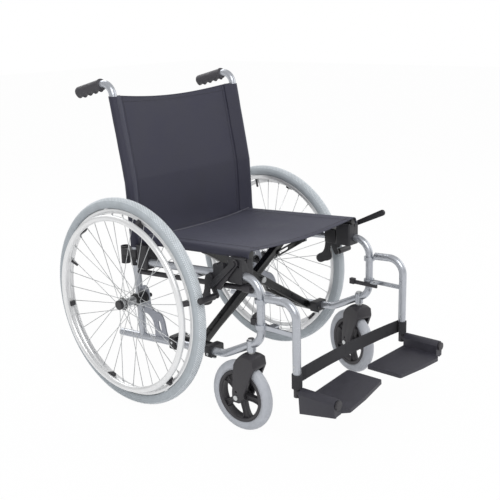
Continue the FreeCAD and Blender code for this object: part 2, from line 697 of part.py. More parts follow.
def seat_cradle(side, middle, long):
    """A clamp round the upper tube with a sloped seat for the rail, and the cheeks beside the rail."""
    half = side * sizes.frame_half
    rail = side * sizes.rail_half
    front = middle + long / 2
    rear = middle - long / 2
    outer = half + side * (sizes.tube_radius + sizes.cradle_wall)
    inner = rail - side * sizes.cradle_inner
    low = upper_tube_height(rear) - sizes.tube_radius - sizes.cradle_wall
    rest = sizes.tube_radius + sizes.seat_clearance
    seat = seat_rail_height(front) - rest, seat_rail_height(rear) - rest
    reach = sizes.overrun

    def strip(first, last, bottom, rise):
        """A strip along the cradle, from its bottom's two ends to a rise over the rail's seat."""
        corners = [at(first, front, bottom[0]), at(first, rear, bottom[1]),
                   at(first, rear, seat[1] + rise), at(first, front, seat[0] + rise)]
        return flat_face(corners).extrude(X_AXIS * (last - first))

    base = strip(inner, outer, (low, low), 0)
    base = base.makeFillet(sizes.cradle_wall, [edge for edge in base.Edges if upright(edge)])
    tube_start = at(half, rear - reach, upper_tube_height(rear - reach))
    tube_end = at(half, front + reach, upper_tube_height(front + reach))
    base = base.cut(rod(tube_start, tube_end, sizes.tube_radius + sizes.running_clearance))
    flap_in = rail + side * sizes.tube_radius
    flap_out = flap_in + side * (sizes.cloth + 3 * sizes.seat_clearance)
    flap_low = seat_rail_height(rear) - sizes.seat_flap - sizes.seat_clearance
    base = base.cut(block(flap_in, flap_out, rear - reach, front + reach, flap_low, max(seat) + reach))
    chord = math.sqrt(sizes.tube_radius ** 2 - (sizes.tube_radius - sizes.cradle_cup) ** 2)
    cheek_end = rail - side * (chord + 2 * sizes.seat_clearance)
    cheeks = [strip(first, last, seat, sizes.cradle_cup) for first, last in ((inner, cheek_end), (flap_out, outer))]
    return base, cheeks


def seat_cradles(side, name):
    """The front cradle, with its small hole and pin, and the rear cradle."""
    front, front_cheeks = seat_cradle(side, cradle_front_ahead, sizes.cradle_front_long)
    middle = cradle_front_ahead + sizes.cradle_front_long / 2 - sizes.cradle_wall * 2
    half = side * sizes.frame_half
    outer = half + side * (sizes.tube_radius + sizes.cradle_wall)
    hole_height = (upper_tube_height(middle) + seat_rail_height(middle)) / 2
    hole_end = at(outer - side * sizes.cradle_wall, middle, hole_height)
    front = front.cut(rod(hole_end, at(outer + side * sizes.overrun, middle, hole_height), sizes.cradle_hole))
    pin_top = at(half, middle, upper_tube_height(middle) - sizes.tube_radius - sizes.cradle_wall / 2)
    pin = rod(pin_top, pin_top - Z_AXIS * (sizes.cradle_pin_drop + sizes.cradle_wall / 2), sizes.cradle_pin)
    front = front.fuse(pin)
    rear, rear_cheeks = seat_cradle(side, sizes.cradle_rear_ahead, sizes.cradle_rear_long)
    add(f"{name}_seat_cradles", Part.makeCompound([front, rear] + front_cheeks + rear_cheeks))


def brace_bracket(side, ahead):
    """A clamp round the lower tube that also holds one pin of the brace's pivot tube."""
    half = side * sizes.frame_half
    pivot = side * sizes.pivot_half
    wall = sizes.bracket_wall
    front = ahead + sizes.bracket_thick / 2
    rear = ahead - sizes.bracket_thick / 2
    tube = lower_tube_height(ahead)
    low = min(tube - sizes.tube_radius, sizes.pivot_height - sizes.pivot_pin) - wall
    high = max(tube + sizes.tube_radius, sizes.pivot_height + sizes.pivot_pin) + wall
    outer = half + side * (sizes.tube_radius + wall)
    inner = pivot - side * (sizes.pivot_pin + wall)
    piece = block(inner, outer, rear, front, low, high)
    lengthways = [edge for edge in piece.Edges if abs(edge.tangentAt(edge.FirstParameter).y) > rail_slope]
    piece = piece.makeFillet(wall, lengthways)
    reach = sizes.overrun
    tube_start = at(half, rear - reach, lower_tube_height(rear - reach))
    tube_end = at(half, front + reach, lower_tube_height(front + reach))
    piece = piece.cut(rod(tube_start, tube_end, sizes.tube_radius + sizes.running_clearance))
    pin_start = at(pivot, rear - reach, sizes.pivot_height)
    pin_end = at(pivot, front + reach, sizes.pivot_height)
    piece = piece.cut(rod(pin_start, pin_end, sizes.pivot_pin + sizes.running_clearance))
    bolt = at((half + pivot) / 2, ahead, low)
    return piece.fuse(rod(bolt + Z_AXIS * wall, bolt - Z_AXIS * sizes.bracket_bolt_drop, sizes.bracket_bolt))


def brace_brackets(side, name):
    pair = [brace_bracket(side, ahead) for ahead in (sizes.bracket_front_ahead, sizes.bracket_rear_ahead)]
    add(f"{name}_brace_brackets", Part.makeCompound(pair))


def axle_receiver(side, name):
    """The black sleeve on the axle plate with the steel axle that it holds."""
    face = sizes.frame_half + sizes.plate_thick / 2
    sleeve_end = sizes.wheel_half - sizes.hub_spread - 2 * sizes.seat_clearance
    nut_face = sizes.frame_half - sizes.plate_thick / 2

    def disc(start, end, radius):
        return rod(at(side * start, 0, axle_height), at(side * end, 0, axle_height), radius)

    sleeve = disc(nut_face, sleeve_end, sizes.receiver_radius - sizes.running_clearance)
    flange = disc(face, face + sizes.receiver_flange_length, sizes.receiver_flange)
    nut = disc(nut_face - sizes.axle_nut_length, nut_face, sizes.axle_nut_radius)
    piece = sleeve.fuse([flange, nut]).cut(rear_upright(side, sizes.tube_radius + sizes.running_clearance))
    axle_end = sizes.wheel_half + sizes.hub_spread + sizes.axle_nose
    axle = disc(sizes.axle_inner_half, axle_end, sizes.axle_radius)
    add(f"{name}_axle_receiver", piece.fuse(axle).removeSplitter())


def axle_button(side, name):
    """The push button, a cap over the axle's outer end; it slides inwards to free the wheel."""
    bore = "sizes.axle_radius + sizes.running_clearance"
    bore_end = "(sizes.axle_nose - sizes.seat_clearance + sizes.button_travel)"
    mouth = "sizes.button_travel + sizes.seat_clearance"
    corners = [
        (f"{side} * ({mouth})", bore),
        (f"{side} * ({mouth})", "sizes.button_radius"),
        (f"{side} * ({mouth} + sizes.button_length - sizes.button_edge)", "sizes.button_radius"),
        (f"{side} * ({mouth} + sizes.button_length)", "sizes.button_radius - sizes.button_edge"),
        (f"{side} * ({mouth} + sizes.button_length)", "0 * sizes.button_radius"),
        (f"{side} * ({bore_end} + 2 * sizes.seat_clearance)", "0 * sizes.button_radius"),
        (f"{side} * ({bore_end} + 2 * sizes.seat_clearance)", bore),
    ]
    body = ring_body(f"{name}_axle_button", corners)
    place_at(body, f"{side} * (sizes.wheel_half + sizes.hub_spread)", "0", "sizes.wheel_radius")


# Rear wheels

def tyre(side, name):
    """The tyre's ring, round outside and seated on the rim's edges."""
    bead = "sizes.rim_radius + sizes.seat_clearance"
    wide = "sizes.tyre_width / 2"
    middle = f"sizes.wheel_radius - {wide}"
    corners = [
        (f"-{wide} * {BEAD_SHARE}", bead),
        (f"{wide} * {BEAD_SHARE}", bead),
        (f"{wide}", f"{middle} + {wide} * {SIDE_SHARE}"),
        (f"{wide} * {SHOULDER_WIDE_SHARE}", f"{middle} + {wide} * {SHOULDER_HIGH_SHARE}"),
        (f"{wide} * {CROWN_SHARE}", "sizes.wheel_radius"),
        (f"-{wide} * {CROWN_SHARE}", "sizes.wheel_radius"),
        (f"-{wide} * {SHOULDER_WIDE_SHARE}", f"{middle} + {wide} * {SHOULDER_HIGH_SHARE}"),
        (f"-{wide}", f"{middle} + {wide} * {SIDE_SHARE}"),
    ]
    body = ring_body(f"{name}_tyre", corners)
    place_at(body, f"{side} * sizes.wheel_half", "0", "sizes.wheel_radius")


def rim(side, name):
    """The rim with its two raised edges and the bed for the tyre."""
    edge = "sizes.rim_width / 2"
    bed = "sizes.rim_radius - sizes.rim_well"
    corners = [
        (f"-{edge}", "sizes.rim_radius"),
        (f"-{edge}", f"({bed} + sizes.rim_inner) / 2"),
        (f"-{edge} / 2", "sizes.rim_inner"),
        (f"{edge} / 2", "sizes.rim_inner"),
        (edge, f"({bed} + sizes.rim_inner) / 2"),
        (edge, "sizes.rim_radius"),
        (f"{edge} - sizes.rim_flange", "sizes.rim_radius"),
        (f"{edge} - sizes.rim_flange", bed),
        (f"sizes.rim_flange - {edge}", bed),
        (f"sizes.rim_flange - {edge}", "sizes.rim_radius"),
    ]
    body = ring_body(f"{name}_rim", corners)
    place_at(body, f"{side} * sizes.wheel_half", "0", "sizes.wheel_radius")


def hand_rim(side, name):
    """The hand rim's tube with the six holders that carry it, joined in one piece."""
    label = f"{name}_hand_rim"
    section = tube_section("sizes.handrim_radius - sizes.handrim_tube", "sizes.handrim_tube", SECTION_SIDES)
    body = ring_body(f"{label}_tube", section)
    place_at(body, f"{side} * (sizes.wheel_half + sizes.handrim_offset)", "0", "sizes.wheel_radius")
    tabs = doc.addObject("Part::Feature", f"{label}_tabs")
    tabs.Shape = hand_rim_tabs(side)
    joined = doc.addObject("Part::MultiFuse", label)
    joined.Shapes = [body, tabs]
    joined.Label = label
    del nodes[f"{label}_tube"]
    nodes[label] = joined


def hand_rim_tabs(side):
    """Six holders that reach from the rim's side to the hand rim's tube."""
    rim_face = side * (sizes.wheel_half + sizes.rim_width / 2 + sizes.seat_clearance)
    tube_middle = side * (sizes.wheel_half + sizes.handrim_offset)
    inner = (sizes.rim_inner + sizes.rim_radius) / 2
    tube_circle = sizes.handrim_radius - sizes.handrim_tube
    step = Y_AXIS * (sizes.tab_width / 2)
    centre = at(0, 0, axle_height)
    solids = []
    for i in range(TABS):
        points = [
            Vector(rim_face, 0, inner - sizes.tab_thick),
            Vector(rim_face, 0, inner + sizes.tab_thick),
            Vector(tube_middle, 0, tube_circle),
            Vector(tube_middle - side * sizes.tab_thick, 0, tube_circle - sizes.tab_thick),
        ]
        tab = flat_face([centre + point - step for point in points]).extrude(step * 2)
        tab.rotate(centre, X_AXIS, FIRST_TAB_ANGLE + i * FULL_TURN / TABS)
        solids.append(tab)
    return Part.makeCompound(solids)


def spoke(side, number):
    """One six-sided spoke from a flange's hole to the rim, crossing its neighbours."""
    outer = number % 2 == 0
    flange = sizes.flange_spread if outer else -sizes.flange_spread
    angle = number * FULL_TURN / SPOKES
    lean = sizes.spoke_angle if number % 4 < 2 else -sizes.spoke_angle
    hub_angle = math.radians(angle + lean)
    rim_angle = math.radians(angle)
    rim_circle = sizes.rim_inner - sizes.seat_clearance
    middle = side * sizes.wheel_half
    start = at(middle + flange, sizes.spoke_circle * math.cos(hub_angle),
               axle_height + sizes.spoke_circle * math.sin(hub_angle))
    end = at(middle, rim_circle * math.cos(rim_angle), axle_height + rim_circle * math.sin(rim_angle))
    run = end - start
    across = run.cross(X_AXIS).normalize() * sizes.spoke_radius
    corners = []
    for i in range(SPOKE_SIDES):
        turn = Rotation(run, i * FULL_TURN / SPOKE_SIDES)
        corners.append(start + turn.multVec(across))
    return flat_face(corners).extrude(run)


def spoked_hub(side, name):
    """Hub barrel with two flanges and thirty-six crossing spokes."""
    middle = side * sizes.wheel_half

    def disc(start, end, radius):
        return rod(at(middle + start, 0, axle_height), at(middle + end, 0, axle_height), radius)

    thick = sizes.flange_thick / 2
    hub = disc(-sizes.hub_spread, sizes.hub_spread, sizes.hub_radius)
    for spread in (sizes.flange_spread, -sizes.flange_spread):
        hub = hub.fuse(disc(spread - thick, spread + thick, sizes.flange_radius))
    hub = hub.cut(disc(-sizes.hub_spread - sizes.overrun, sizes.hub_spread + sizes.overrun,
                       sizes.axle_radius + sizes.running_clearance))
    hub = hub.fuse([spoke(side, number) for number in range(SPOKES)])
    add(f"{name}_spoked_hub", hub)


# Castors

def castor_tyre(side, name):
    wide = "sizes.castor_width / 2"
    bead = "sizes.castor_rim + sizes.seat_clearance"
    corners = [
        (f"-{wide} * {CASTOR_BEAD_SHARE}", bead),
        (f"{wide} * {CASTOR_BEAD_SHARE}", bead),
        (wide, f"sizes.castor_radius - {wide} * {CASTOR_SIDE_SHARE}"),
        (f"{wide} * {CASTOR_SHOULDER_SHARE}", f"sizes.castor_radius - {wide} * {CASTOR_CROWN_SHARE}"),
        (f"{wide} * {CASTOR_CROWN_SHARE}", "sizes.castor_radius"),
        (f"-{wide} * {CASTOR_CROWN_SHARE}", "sizes.castor_radius"),
        (f"-{wide} * {CASTOR_SHOULDER_SHARE}", f"sizes.castor_radius - {wide} * {CASTOR_CROWN_SHARE}"),
        (f"-{wide}", f"sizes.castor_radius - {wide} * {CASTOR_SIDE_SHARE}"),
    ]
    place_castor(ring_body(f"{name}_castor_tyre", corners), side, name)


def place_castor(body, side, name):
    """Puts a castor's wheel behind its stem, turned with the fork."""
    swivel = f"sizes.{name}_swivel_angle"
    body.Placement = Placement(Vector(), Rotation(Z_AXIS, getattr(sizes, f"{name}_swivel_angle")))
    place_at(body, f"{side} * sizes.frame_half - sizes.castor_trail * sin({swivel})",
             f"sizes.post_ahead - sizes.stem_back - sizes.castor_trail * cos({swivel})", "sizes.castor_radius")


def castor_wheel(side, name):
    """The castor's plastic wheel: a ring, a hub and five tapering arms."""
    ring_half = "sizes.castor_rim_width / 2"
    corners = [
        (f"-{ring_half}", "sizes.castor_rim"),
        (f"-{ring_half}", "sizes.castor_rim_inner"),
        (ring_half, "sizes.castor_rim_inner"),
        (ring_half, "sizes.castor_rim"),
    ]
    body = ring_body(f"{name}_castor_wheel", corners)
    hub_half = "sizes.castor_hub_width / 2"
    bore = "sizes.castor_axle + sizes.running_clearance"
    hub_profile = sketch_on(body, f"{name}_castor_hub_profile", "XY_Plane", [
        (f"-{hub_half}", "sizes.castor_hub"),
        (f"-{hub_half}", bore),
        (hub_half, bore),
        (hub_half, "sizes.castor_hub"),
    ])
    hub = body.newObject("PartDesign::Revolution", f"{name}_castor_hub")
    hub.Profile = hub_profile
    hub.ReferenceAxis = (hub_profile, ["H_Axis"])
    hub.Angle = FULL_TURN
    hub.AllowMultiFace = True
    arm_profile = sketch_on(body, f"{name}_castor_arm_profile", "YZ_Plane", [
        ("-sizes.castor_arm / 2", "sizes.castor_hub - sizes.flange_thick"),
        ("sizes.castor_arm / 2", "sizes.castor_hub - sizes.flange_thick"),
        ("sizes.castor_arm_end / 2", "sizes.castor_rim_inner + sizes.flange_thick"),
        ("-sizes.castor_arm_end / 2", "sizes.castor_rim_inner + sizes.flange_thick"),
    ])
    arm = body.newObject("PartDesign::Pad", f"{name}_castor_arm")
    arm.Profile = arm_profile
    arm.Midplane = True
    arm.setExpression("Length", "sizes.castor_web")
    arms = body.newObject("PartDesign::PolarPattern", f"{name}_castor_arms")
    arms.Originals = [arm]
    arms.Axis = (plane_of(body, "X_Axis"), [""])
    arms.Angle = FULL_TURN
    arms.Occurrences = CASTOR_ARMS
    body.Tip = arms
    place_castor(body, side, name)


def castor_place(side, name):
    """Turns a piece made round the stem's axis to where the castor stands."""
    base = at(side * sizes.frame_half, stem_ahead, 0)
    return Placement(base, Rotation(Z_AXIS, getattr(sizes, f"{name}_swivel_angle")))


def castor_fork(side, name):
    """Moulded fork: a round top, a roof over the tyre and two arms that taper to the axle."""
    trail = sizes.castor_trail
    foot = sizes.fork_foot
    outer = sizes.fork_gap + sizes.fork_wall
    shoulder = sizes.fork_shoulder
    crown = sizes.fork_crown
    high = sizes.fork_high
    axle = sizes.castor_radius
    points = [
        Vector(-outer, -crown, high),
        Vector(-outer, -shoulder, sizes.fork_shoulder_height),
        Vector(-outer, trail - foot, axle - foot),
        Vector(-outer, trail + foot, axle - foot),
        Vector(-outer, trail + foot, axle + foot),
        Vector(-outer, shoulder + foot, sizes.fork_shoulder_height),
        Vector(-outer, crown, high),
    ]
    fork = rounded_face(points, foot * FORK_ROUND_SHARE).extrude(X_AXIS * (2 * outer))
    dome = sizes.fork_dome
    over = Part.makeBox(2 * dome, 2 * dome, dome, Vector(-dome, -dome, sizes.fork_shoulder_height))
    fork = fork.cut(over.cut(Part.makeSphere(dome, Vector(0, 0, high - dome))))
    centre = Vector(-sizes.fork_gap, trail, axle)
    gap = Part.makeCylinder(sizes.castor_radius + sizes.fork_roof, 2 * sizes.fork_gap, centre, X_AXIS)
    below = Part.makeBox(2 * sizes.fork_gap, 2 * sizes.castor_radius, axle,
                         Vector(-sizes.fork_gap, trail - sizes.castor_radius, 0))
    fork = fork.cut(gap.fuse(below))
    hole = Vector(-outer - sizes.overrun, trail, axle)
    across = X_AXIS * 2 * (outer + sizes.overrun)
    fork = fork.cut(rod(hole, hole + across, sizes.castor_axle))
    small = hole + Z_AXIS * (foot + sizes.fork_hole)
    fork = fork.cut(rod(small, small + across, sizes.fork_hole))
    fork = fork.cut(Part.makeCylinder(sizes.stem_radius, high, Vector(0, 0, sizes.fork_shoulder_height)))
    piece = add(f"{name}_castor_fork", fork.removeSplitter())
    piece.Placement = castor_place(side, name)


def castor_bolts(side, name):
    """The steel stem with its nut and collar, and the wheel's axle bolt."""
    low = sizes.fork_high - sizes.stem_nut_height
    top = sizes.stem_sleeve_high + sizes.seat_clearance
    reach = sizes.stem_radius - sizes.running_clearance / 2
    stem = Part.makeCylinder(reach, top + sizes.stem_nut_height - low, Vector(0, 0, low))
    stem = stem.fuse(Part.makeCylinder(sizes.stem_nut, sizes.stem_nut_height, Vector(0, 0, top)))
    collar_high = sizes.stem_sleeve_low - sizes.seat_clearance
    collar_low = sizes.fork_high + sizes.running_clearance
    stem = stem.fuse(Part.makeCylinder(sizes.stem_collar, collar_high - collar_low, Vector(0, 0, collar_low)))
    outer = sizes.fork_gap + sizes.fork_wall + sizes.running_clearance
    centre = Vector(-outer, sizes.castor_trail, sizes.castor_radius)
    axle = Part.makeCylinder(sizes.castor_axle - sizes.running_clearance / 2, 2 * outer, centre, X_AXIS)
    for start, direction in ((centre, -X_AXIS), (centre + X_AXIS * 2 * outer, X_AXIS)):
        axle = axle.fuse(Part.makeCylinder(sizes.castor_bolt_head, sizes.castor_bolt_height, start, direction))
    piece = add(f"{name}_castor_bolts", Part.makeCompound([stem.removeSplitter(), axle.removeSplitter()]))
    piece.Placement = castor_place(side, name)


# Cross brace

def brace_member(side, ahead):
    """A box-section member with its pivot tube, and the seat rail that its far end is saddled to."""
    foot = at(-side * sizes.pivot_half, ahead, sizes.pivot_height)
    top = at(side * sizes.rail_half, ahead, rail_height)
    run = (top - foot).normalize()
    rise = Y_AXIS.cross(run) * (sizes.brace_high / 2)
    step = Y_AXIS * (sizes.brace_deep / 2)
    member = rounded_face([foot + rise + step, foot - rise + step, foot - rise - step, foot + rise - step],
                          sizes.brace_corner).extrude(top - foot - run * sizes.brace_short)
    share = (1 - sizes.strut_start_share) * sizes.pivot_half / (sizes.pivot_half + sizes.rail_half)
    strut_start = foot + (top - foot) * share
    strut_step = Y_AXIS * (sizes.strut_deep / 2)
    lower = foot - Z_AXIS * sizes.pivot_tube_radius
    elbow = strut_start - Z_AXIS * sizes.strut_drop
    thick = Z_AXIS * sizes.strut_high
    corners = [lower, elbow, strut_start + run * sizes.strut_drop, strut_start, elbow + thick, lower + thick]
    strut = flat_face([corner - strut_step for corner in corners]).extrude(strut_step * 2)
    tube_front = sizes.bracket_front_ahead - sizes.bracket_thick / 2 - sizes.seat_clearance
    tube_rear = sizes.bracket_rear_ahead + sizes.bracket_thick / 2 + sizes.seat_clearance
    pivot = rod(at(foot.x, tube_rear, sizes.pivot_height), at(foot.x, tube_front, sizes.pivot_height),
                sizes.pivot_tube_radius)
    pin = rod(at(foot.x, tube_rear - sizes.bracket_thick, sizes.pivot_height),
              at(foot.x, tube_front + sizes.bracket_thick, sizes.pivot_height), sizes.pivot_pin)
    rail_front = at(top.x, rail_front_ahead, seat_rail_height(rail_front_ahead))
    rail_rear = at(top.x, -sizes.rail_rear_behind, seat_rail_height(-sizes.rail_rear_behind))
    rail = rod(rail_rear, rail_front, sizes.tube_radius)
    member = member.fuse([strut, pivot, pin]).cut(rail)
    return max(member.Solids, key=lambda solid: solid.Volume), rail


def braces():
    """The two members, crossing at the centre bolt that the rear one carries."""
    bolt_place = at(0, sizes.brace_a_ahead, sizes.cross_height)
    front_face = sizes.brace_b_ahead + sizes.brace_deep / 2
    rear_face = sizes.brace_a_ahead - sizes.brace_deep / 2
    member_a, rail_a = brace_member(1, sizes.brace_a_ahead)
    member_b, rail_b = brace_member(-1, sizes.brace_b_ahead)
    hole = rod(at(0, rear_face - sizes.overrun, bolt_place.z), at(0, front_face + sizes.overrun, bolt_place.z),
               sizes.cross_bolt + sizes.running_clearance)
    add("brace_to_left_rail", Part.makeCompound([member_a.cut(hole), rail_a]))
    add("brace_to_right_rail", Part.makeCompound([member_b.cut(hole), rail_b]))
    gap = sizes.seat_clearance
    bolt = rod(at(0, rear_face - gap - sizes.cross_bolt_height, bolt_place.z),
               at(0, front_face + gap + sizes.cross_bolt_height, bolt_place.z), sizes.cross_bolt)
    rear_head = rod(at(0, rear_face - gap - sizes.cross_bolt_height, bolt_place.z),
                    at(0, rear_face - gap, bolt_place.z), sizes.cross_bolt_head)
    front_head = rod(at(0, front_face + gap, bolt_place.z),
                     at(0, front_face + gap + sizes.cross_bolt_height, bolt_place.z), sizes.cross_bolt_head)
    spacer = rod(at(0, sizes.brace_a_ahead + sizes.brace_deep / 2 + gap, bolt_place.z),
                 at(0, sizes.brace_b_ahead - sizes.brace_deep / 2 - gap, bolt_place.z), sizes.cross_bolt_head)
    add("centre_bolt", bolt.fuse([rear_head, front_head, spacer]).removeSplitter())


def stay(side, name):
    """A slotted flat stay from the side frame's lug to the brace member."""
    pivot = stay_pivot(side)
    angle = math.radians(sizes.stay_rise_angle)
    run = Vector(-side * math.cos(angle), 0, math.sin(angle))
    end = pivot + run * sizes.stay_reach
    bar = bar_between(pivot, end, sizes.stay_wide, sizes.stay_thick, -Y_AXIS)
    slot_start = end - run * sizes.stay_slot_length
    cutter_step = Y_AXIS * sizes.overrun
    slot = bar_between(slot_start + cutter_step, end + cutter_step, sizes.stay_slot,
                       sizes.stay_thick + 2 * sizes.overrun, -Y_AXIS)
    bar = bar.cut(slot)
    pin_end = pivot + Y_AXIS * (sizes.stay_lug_thick + 2 * sizes.seat_clearance)
    bar = bar.fuse(rod(pivot - Y_AXIS * sizes.stay_thick, pin_end, sizes.stay_pin))
    bar = bar.fuse(rod(pin_end, pin_end + Y_AXIS * sizes.stay_thick, sizes.stay_pin + sizes.cradle_pin))
    add(f"{name}_stay", bar.removeSplitter())


# Brakes

def brake_halves(side):
    """Sideways places of the brake's layers, from the tube outwards."""
    plate_in = sizes.frame_half + sizes.tube_radius + sizes.brake_plate_gap
    plate_out = plate_in + sizes.brake_plate_thick
    lever_in = plate_out + sizes.lever_gap
    lever_out = lever_in + sizes.lever_thick
    handle_in = lever_out + sizes.lever_gap
    return [side * half for half in (plate_in, plate_out, lever_in, lever_out, handle_in)]


def brake_bracket(side, name):
    """A clamp round the upper tube with the plate that carries lever and shoe."""
    plate_in, plate_out, lever_in, lever_out, handle_in = brake_halves(side)
    half = side * sizes.frame_half
    wall = sizes.brake_block_wall
    front = sizes.brake_block_ahead + sizes.brake_block_long / 2
    rear = sizes.brake_block_ahead - sizes.brake_block_long / 2
    inner = half - side * (sizes.tube_radius + wall)
    low = upper_tube_height(rear) - sizes.tube_radius - wall
    high = upper_tube_height(front) + sizes.tube_radius + wall
    clamp = block(inner, plate_in, rear, front, low, high)
    clamp = clamp.makeFillet(wall, [edge for edge in clamp.Edges if upright(edge)])
    reach = sizes.overrun
    tube_start = at(half, rear - reach, upper_tube_height(rear - reach))
    tube_end = at(half, front + reach, upper_tube_height(front + reach))
    clamp = clamp.cut(rod(tube_start, tube_end, sizes.tube_radius + sizes.running_clearance))
    margin = sizes.lever_half
    shoe_ahead = sizes.shoe_pivot_ahead
    pivot_ahead = sizes.brake_pivot_ahead
    points = [
        at(plate_in, shoe_ahead - margin, sizes.shoe_pivot_height + margin),
        at(plate_in, shoe_ahead - margin, sizes.shoe_pivot_height - margin),
        at(plate_in, pivot_ahead - margin, sizes.brake_pivot_height - margin),
        at(plate_in, pivot_ahead + margin, sizes.brake_pivot_height - margin),
        at(plate_in, front, high),
        at(plate_in, rear, high),
    ]
    plate = rounded_face(points, wall / 2).extrude(X_AXIS * (plate_out - plate_in))
    holes = []
    for ahead, height in ((pivot_ahead, sizes.brake_pivot_height), (shoe_ahead, sizes.shoe_pivot_height)):
        start = at(plate_in - side * reach, ahead, height)
        holes.append(rod(start, at(plate_out + side * reach, ahead, height), sizes.brake_pin + sizes.running_clearance))
    add(f"{name}_brake_bracket", clamp.fuse(plate).cut(holes).removeSplitter())


def brake_lever(side, name):
    """The lower lever with its pivot pin through the bracket's plate."""
    plate_in, plate_out, lever_in, lever_out, handle_in = brake_halves(side)
    pivot = at(lever_in, sizes.brake_pivot_ahead, sizes.brake_pivot_height)
    hinge = at(lever_in, sizes.lever_hinge_ahead, sizes.lever_hinge_height)
    lever = bar_between(pivot, hinge, sizes.lever_half, sizes.lever_thick, X_AXIS * side)
    pin_end = at(plate_in - side * sizes.seat_clearance, sizes.brake_pivot_ahead, sizes.brake_pivot_height)
    lever = lever.fuse(rod(pivot + X_AXIS * side, pin_end, sizes.brake_pin))
    hole = rod(hinge - X_AXIS * side * sizes.overrun, hinge + X_AXIS * side * 2 * sizes.overrun,
               sizes.brake_pin + sizes.running_clearance)
    add(f"{name}_brake_lever", lever.cut(hole).removeSplitter())


def brake_handle(side, name):
    """The fold-down handle: a paddle with a shallow oval recess and its hinge pin."""
    plate_in, plate_out, lever_in, lever_out, handle_in = brake_halves(side)
    hinge = at(handle_in, sizes.lever_hinge_ahead, sizes.lever_hinge_height)
    degrees = sizes.handle_open_angle if side > 0 else sizes.handle_folded_angle
    angle = math.radians(degrees)
    forward = Vector(0, -math.cos(angle), math.sin(angle))
    outward = X_AXIS * side
    across = forward.cross(X_AXIS)
    tip = hinge + forward * (sizes.handle_long - sizes.handle_half)
    thick = sizes.handle_thick
    face = flat_face([hinge + across * sizes.handle_neck, tip + across * sizes.handle_half,
                      tip - across * sizes.handle_half, hinge - across * sizes.handle_neck])
    handle = face.extrude(outward * thick)
    handle = handle.fuse(Part.makeCylinder(sizes.handle_half, thick, tip, outward))
    handle = handle.fuse(Part.makeCylinder(sizes.handle_neck, thick, hinge, outward))
    recess_end = tip - forward * (sizes.handle_long * HANDLE_RECESS_SHARE)
    recess_depth = sizes.lever_gap * 2
    recess = bar_between(recess_end + outward * (thick - recess_depth), tip + outward * (thick - recess_depth),
                         sizes.handle_half / 2, thick, outward)
    handle = handle.cut(recess)
    pin = rod(hinge + outward, at(lever_in, sizes.lever_hinge_ahead, sizes.lever_hinge_height), sizes.brake_pin)
    add(f"{name}_brake_handle", handle.fuse(pin).removeSplitter())


def brake_shoe(side, name):
    """The shoe's arm, beside the plate, and the round bar that presses on the tyre."""
    plate_in, plate_out, lever_in, lever_out, handle_in = brake_halves(side)
    pivot = at(plate_out + side * sizes.lever_gap, sizes.shoe_pivot_ahead, sizes.shoe_pivot_height)
    outward = X_AXIS * side
    pad = at(pivot.x, sizes.shoe_ahead, sizes.shoe_height)
    arm = bar_between(pivot, pad, sizes.shoe_arm, sizes.shoe_arm_thick, outward)
    tyre_middle = side * sizes.wheel_half
    bar_end = at(tyre_middle + side * sizes.shoe_length / 2, sizes.shoe_ahead, sizes.shoe_height)
    bar_start = Vector(handle_in + side * (sizes.handle_thick + sizes.lever_gap), pad.y, pad.z)
    arm = arm.fuse([rod(pad, bar_start, sizes.shoe_pin), rod(bar_start, bar_end, sizes.shoe_radius)])
    pin_end = at(plate_in - side * sizes.seat_clearance, sizes.shoe_pivot_ahead, sizes.shoe_pivot_height)
    arm = arm.fuse(rod(pivot + outward, pin_end, sizes.brake_pin))
    add(f"{name}_brake_shoe", arm.removeSplitter())


# Footrests

def hanger(side, name):
    """The footrest hanger: a bent tube held to the front post by two rings."""
    half = side * sizes.frame_half
    root = at(half, sizes.post_ahead + sizes.hanger_start, sizes.hanger_root_height)
    corner = at(half, hanger_ahead, sizes.hanger_height)
    low = at(half, hanger_ahead, sizes.hanger_low)
    tube = bent_rod([root, corner, low], (sizes.hanger_bend,), sizes.tube_radius)
    ring_centre = at(half, sizes.post_ahead, 0)
    web = sizes.saddle_plate / 2
    bore = sizes.tube_radius + sizes.running_clearance
    pieces = []
    for bottom in (sizes.saddle_upper, sizes.saddle_lower):
        pieces.append(Part.makeCylinder(sizes.saddle_radius, sizes.saddle_high, ring_centre + Z_AXIS * bottom))
    upper_web = flat_face([
        at(half - web, sizes.post_ahead, sizes.saddle_upper),
        at(half - web, sizes.post_ahead + sizes.hanger_start * 2, sizes.hanger_root_height),
        at(half - web, sizes.post_ahead + sizes.hanger_start, sizes.hanger_root_height),
        at(half - web, sizes.post_ahead, sizes.saddle_upper + sizes.saddle_high),
    ]).extrude(X_AXIS * web * 2)
    strut = block(half - web, half + web, sizes.post_ahead, hanger_ahead,
                  sizes.saddle_lower, sizes.saddle_lower + sizes.saddle_high)
    piece = tube.fuse(pieces + [upper_web, strut])
    post = Part.makeCylinder(bore, sizes.upper_front_height, ring_centre)
    piece = piece.cut(post)
    inside = low + Z_AXIS * sizes.foot_tube_inside
    piece = piece.cut(rod(low - Z_AXIS * sizes.overrun, inside, sizes.foot_tube + sizes.running_clearance))
    lever_pin = at(side * sizes.release_half, release_pivot, 0)
    ear_low = sizes.release_height + sizes.release_high + sizes.release_ear_gap
    ear = block(half, side * (sizes.release_half - sizes.release_thick), release_pivot - sizes.lever_half,
                release_pivot + sizes.lever_half, ear_low, ear_low + sizes.saddle_plate)
    pin_hole = Part.makeCylinder(sizes.release_pin + sizes.running_clearance, sizes.upper_front_height, lever_pin)
    piece = piece.fuse(ear).cut(pin_hole)
    add(f"{name}_hanger", piece.removeSplitter())


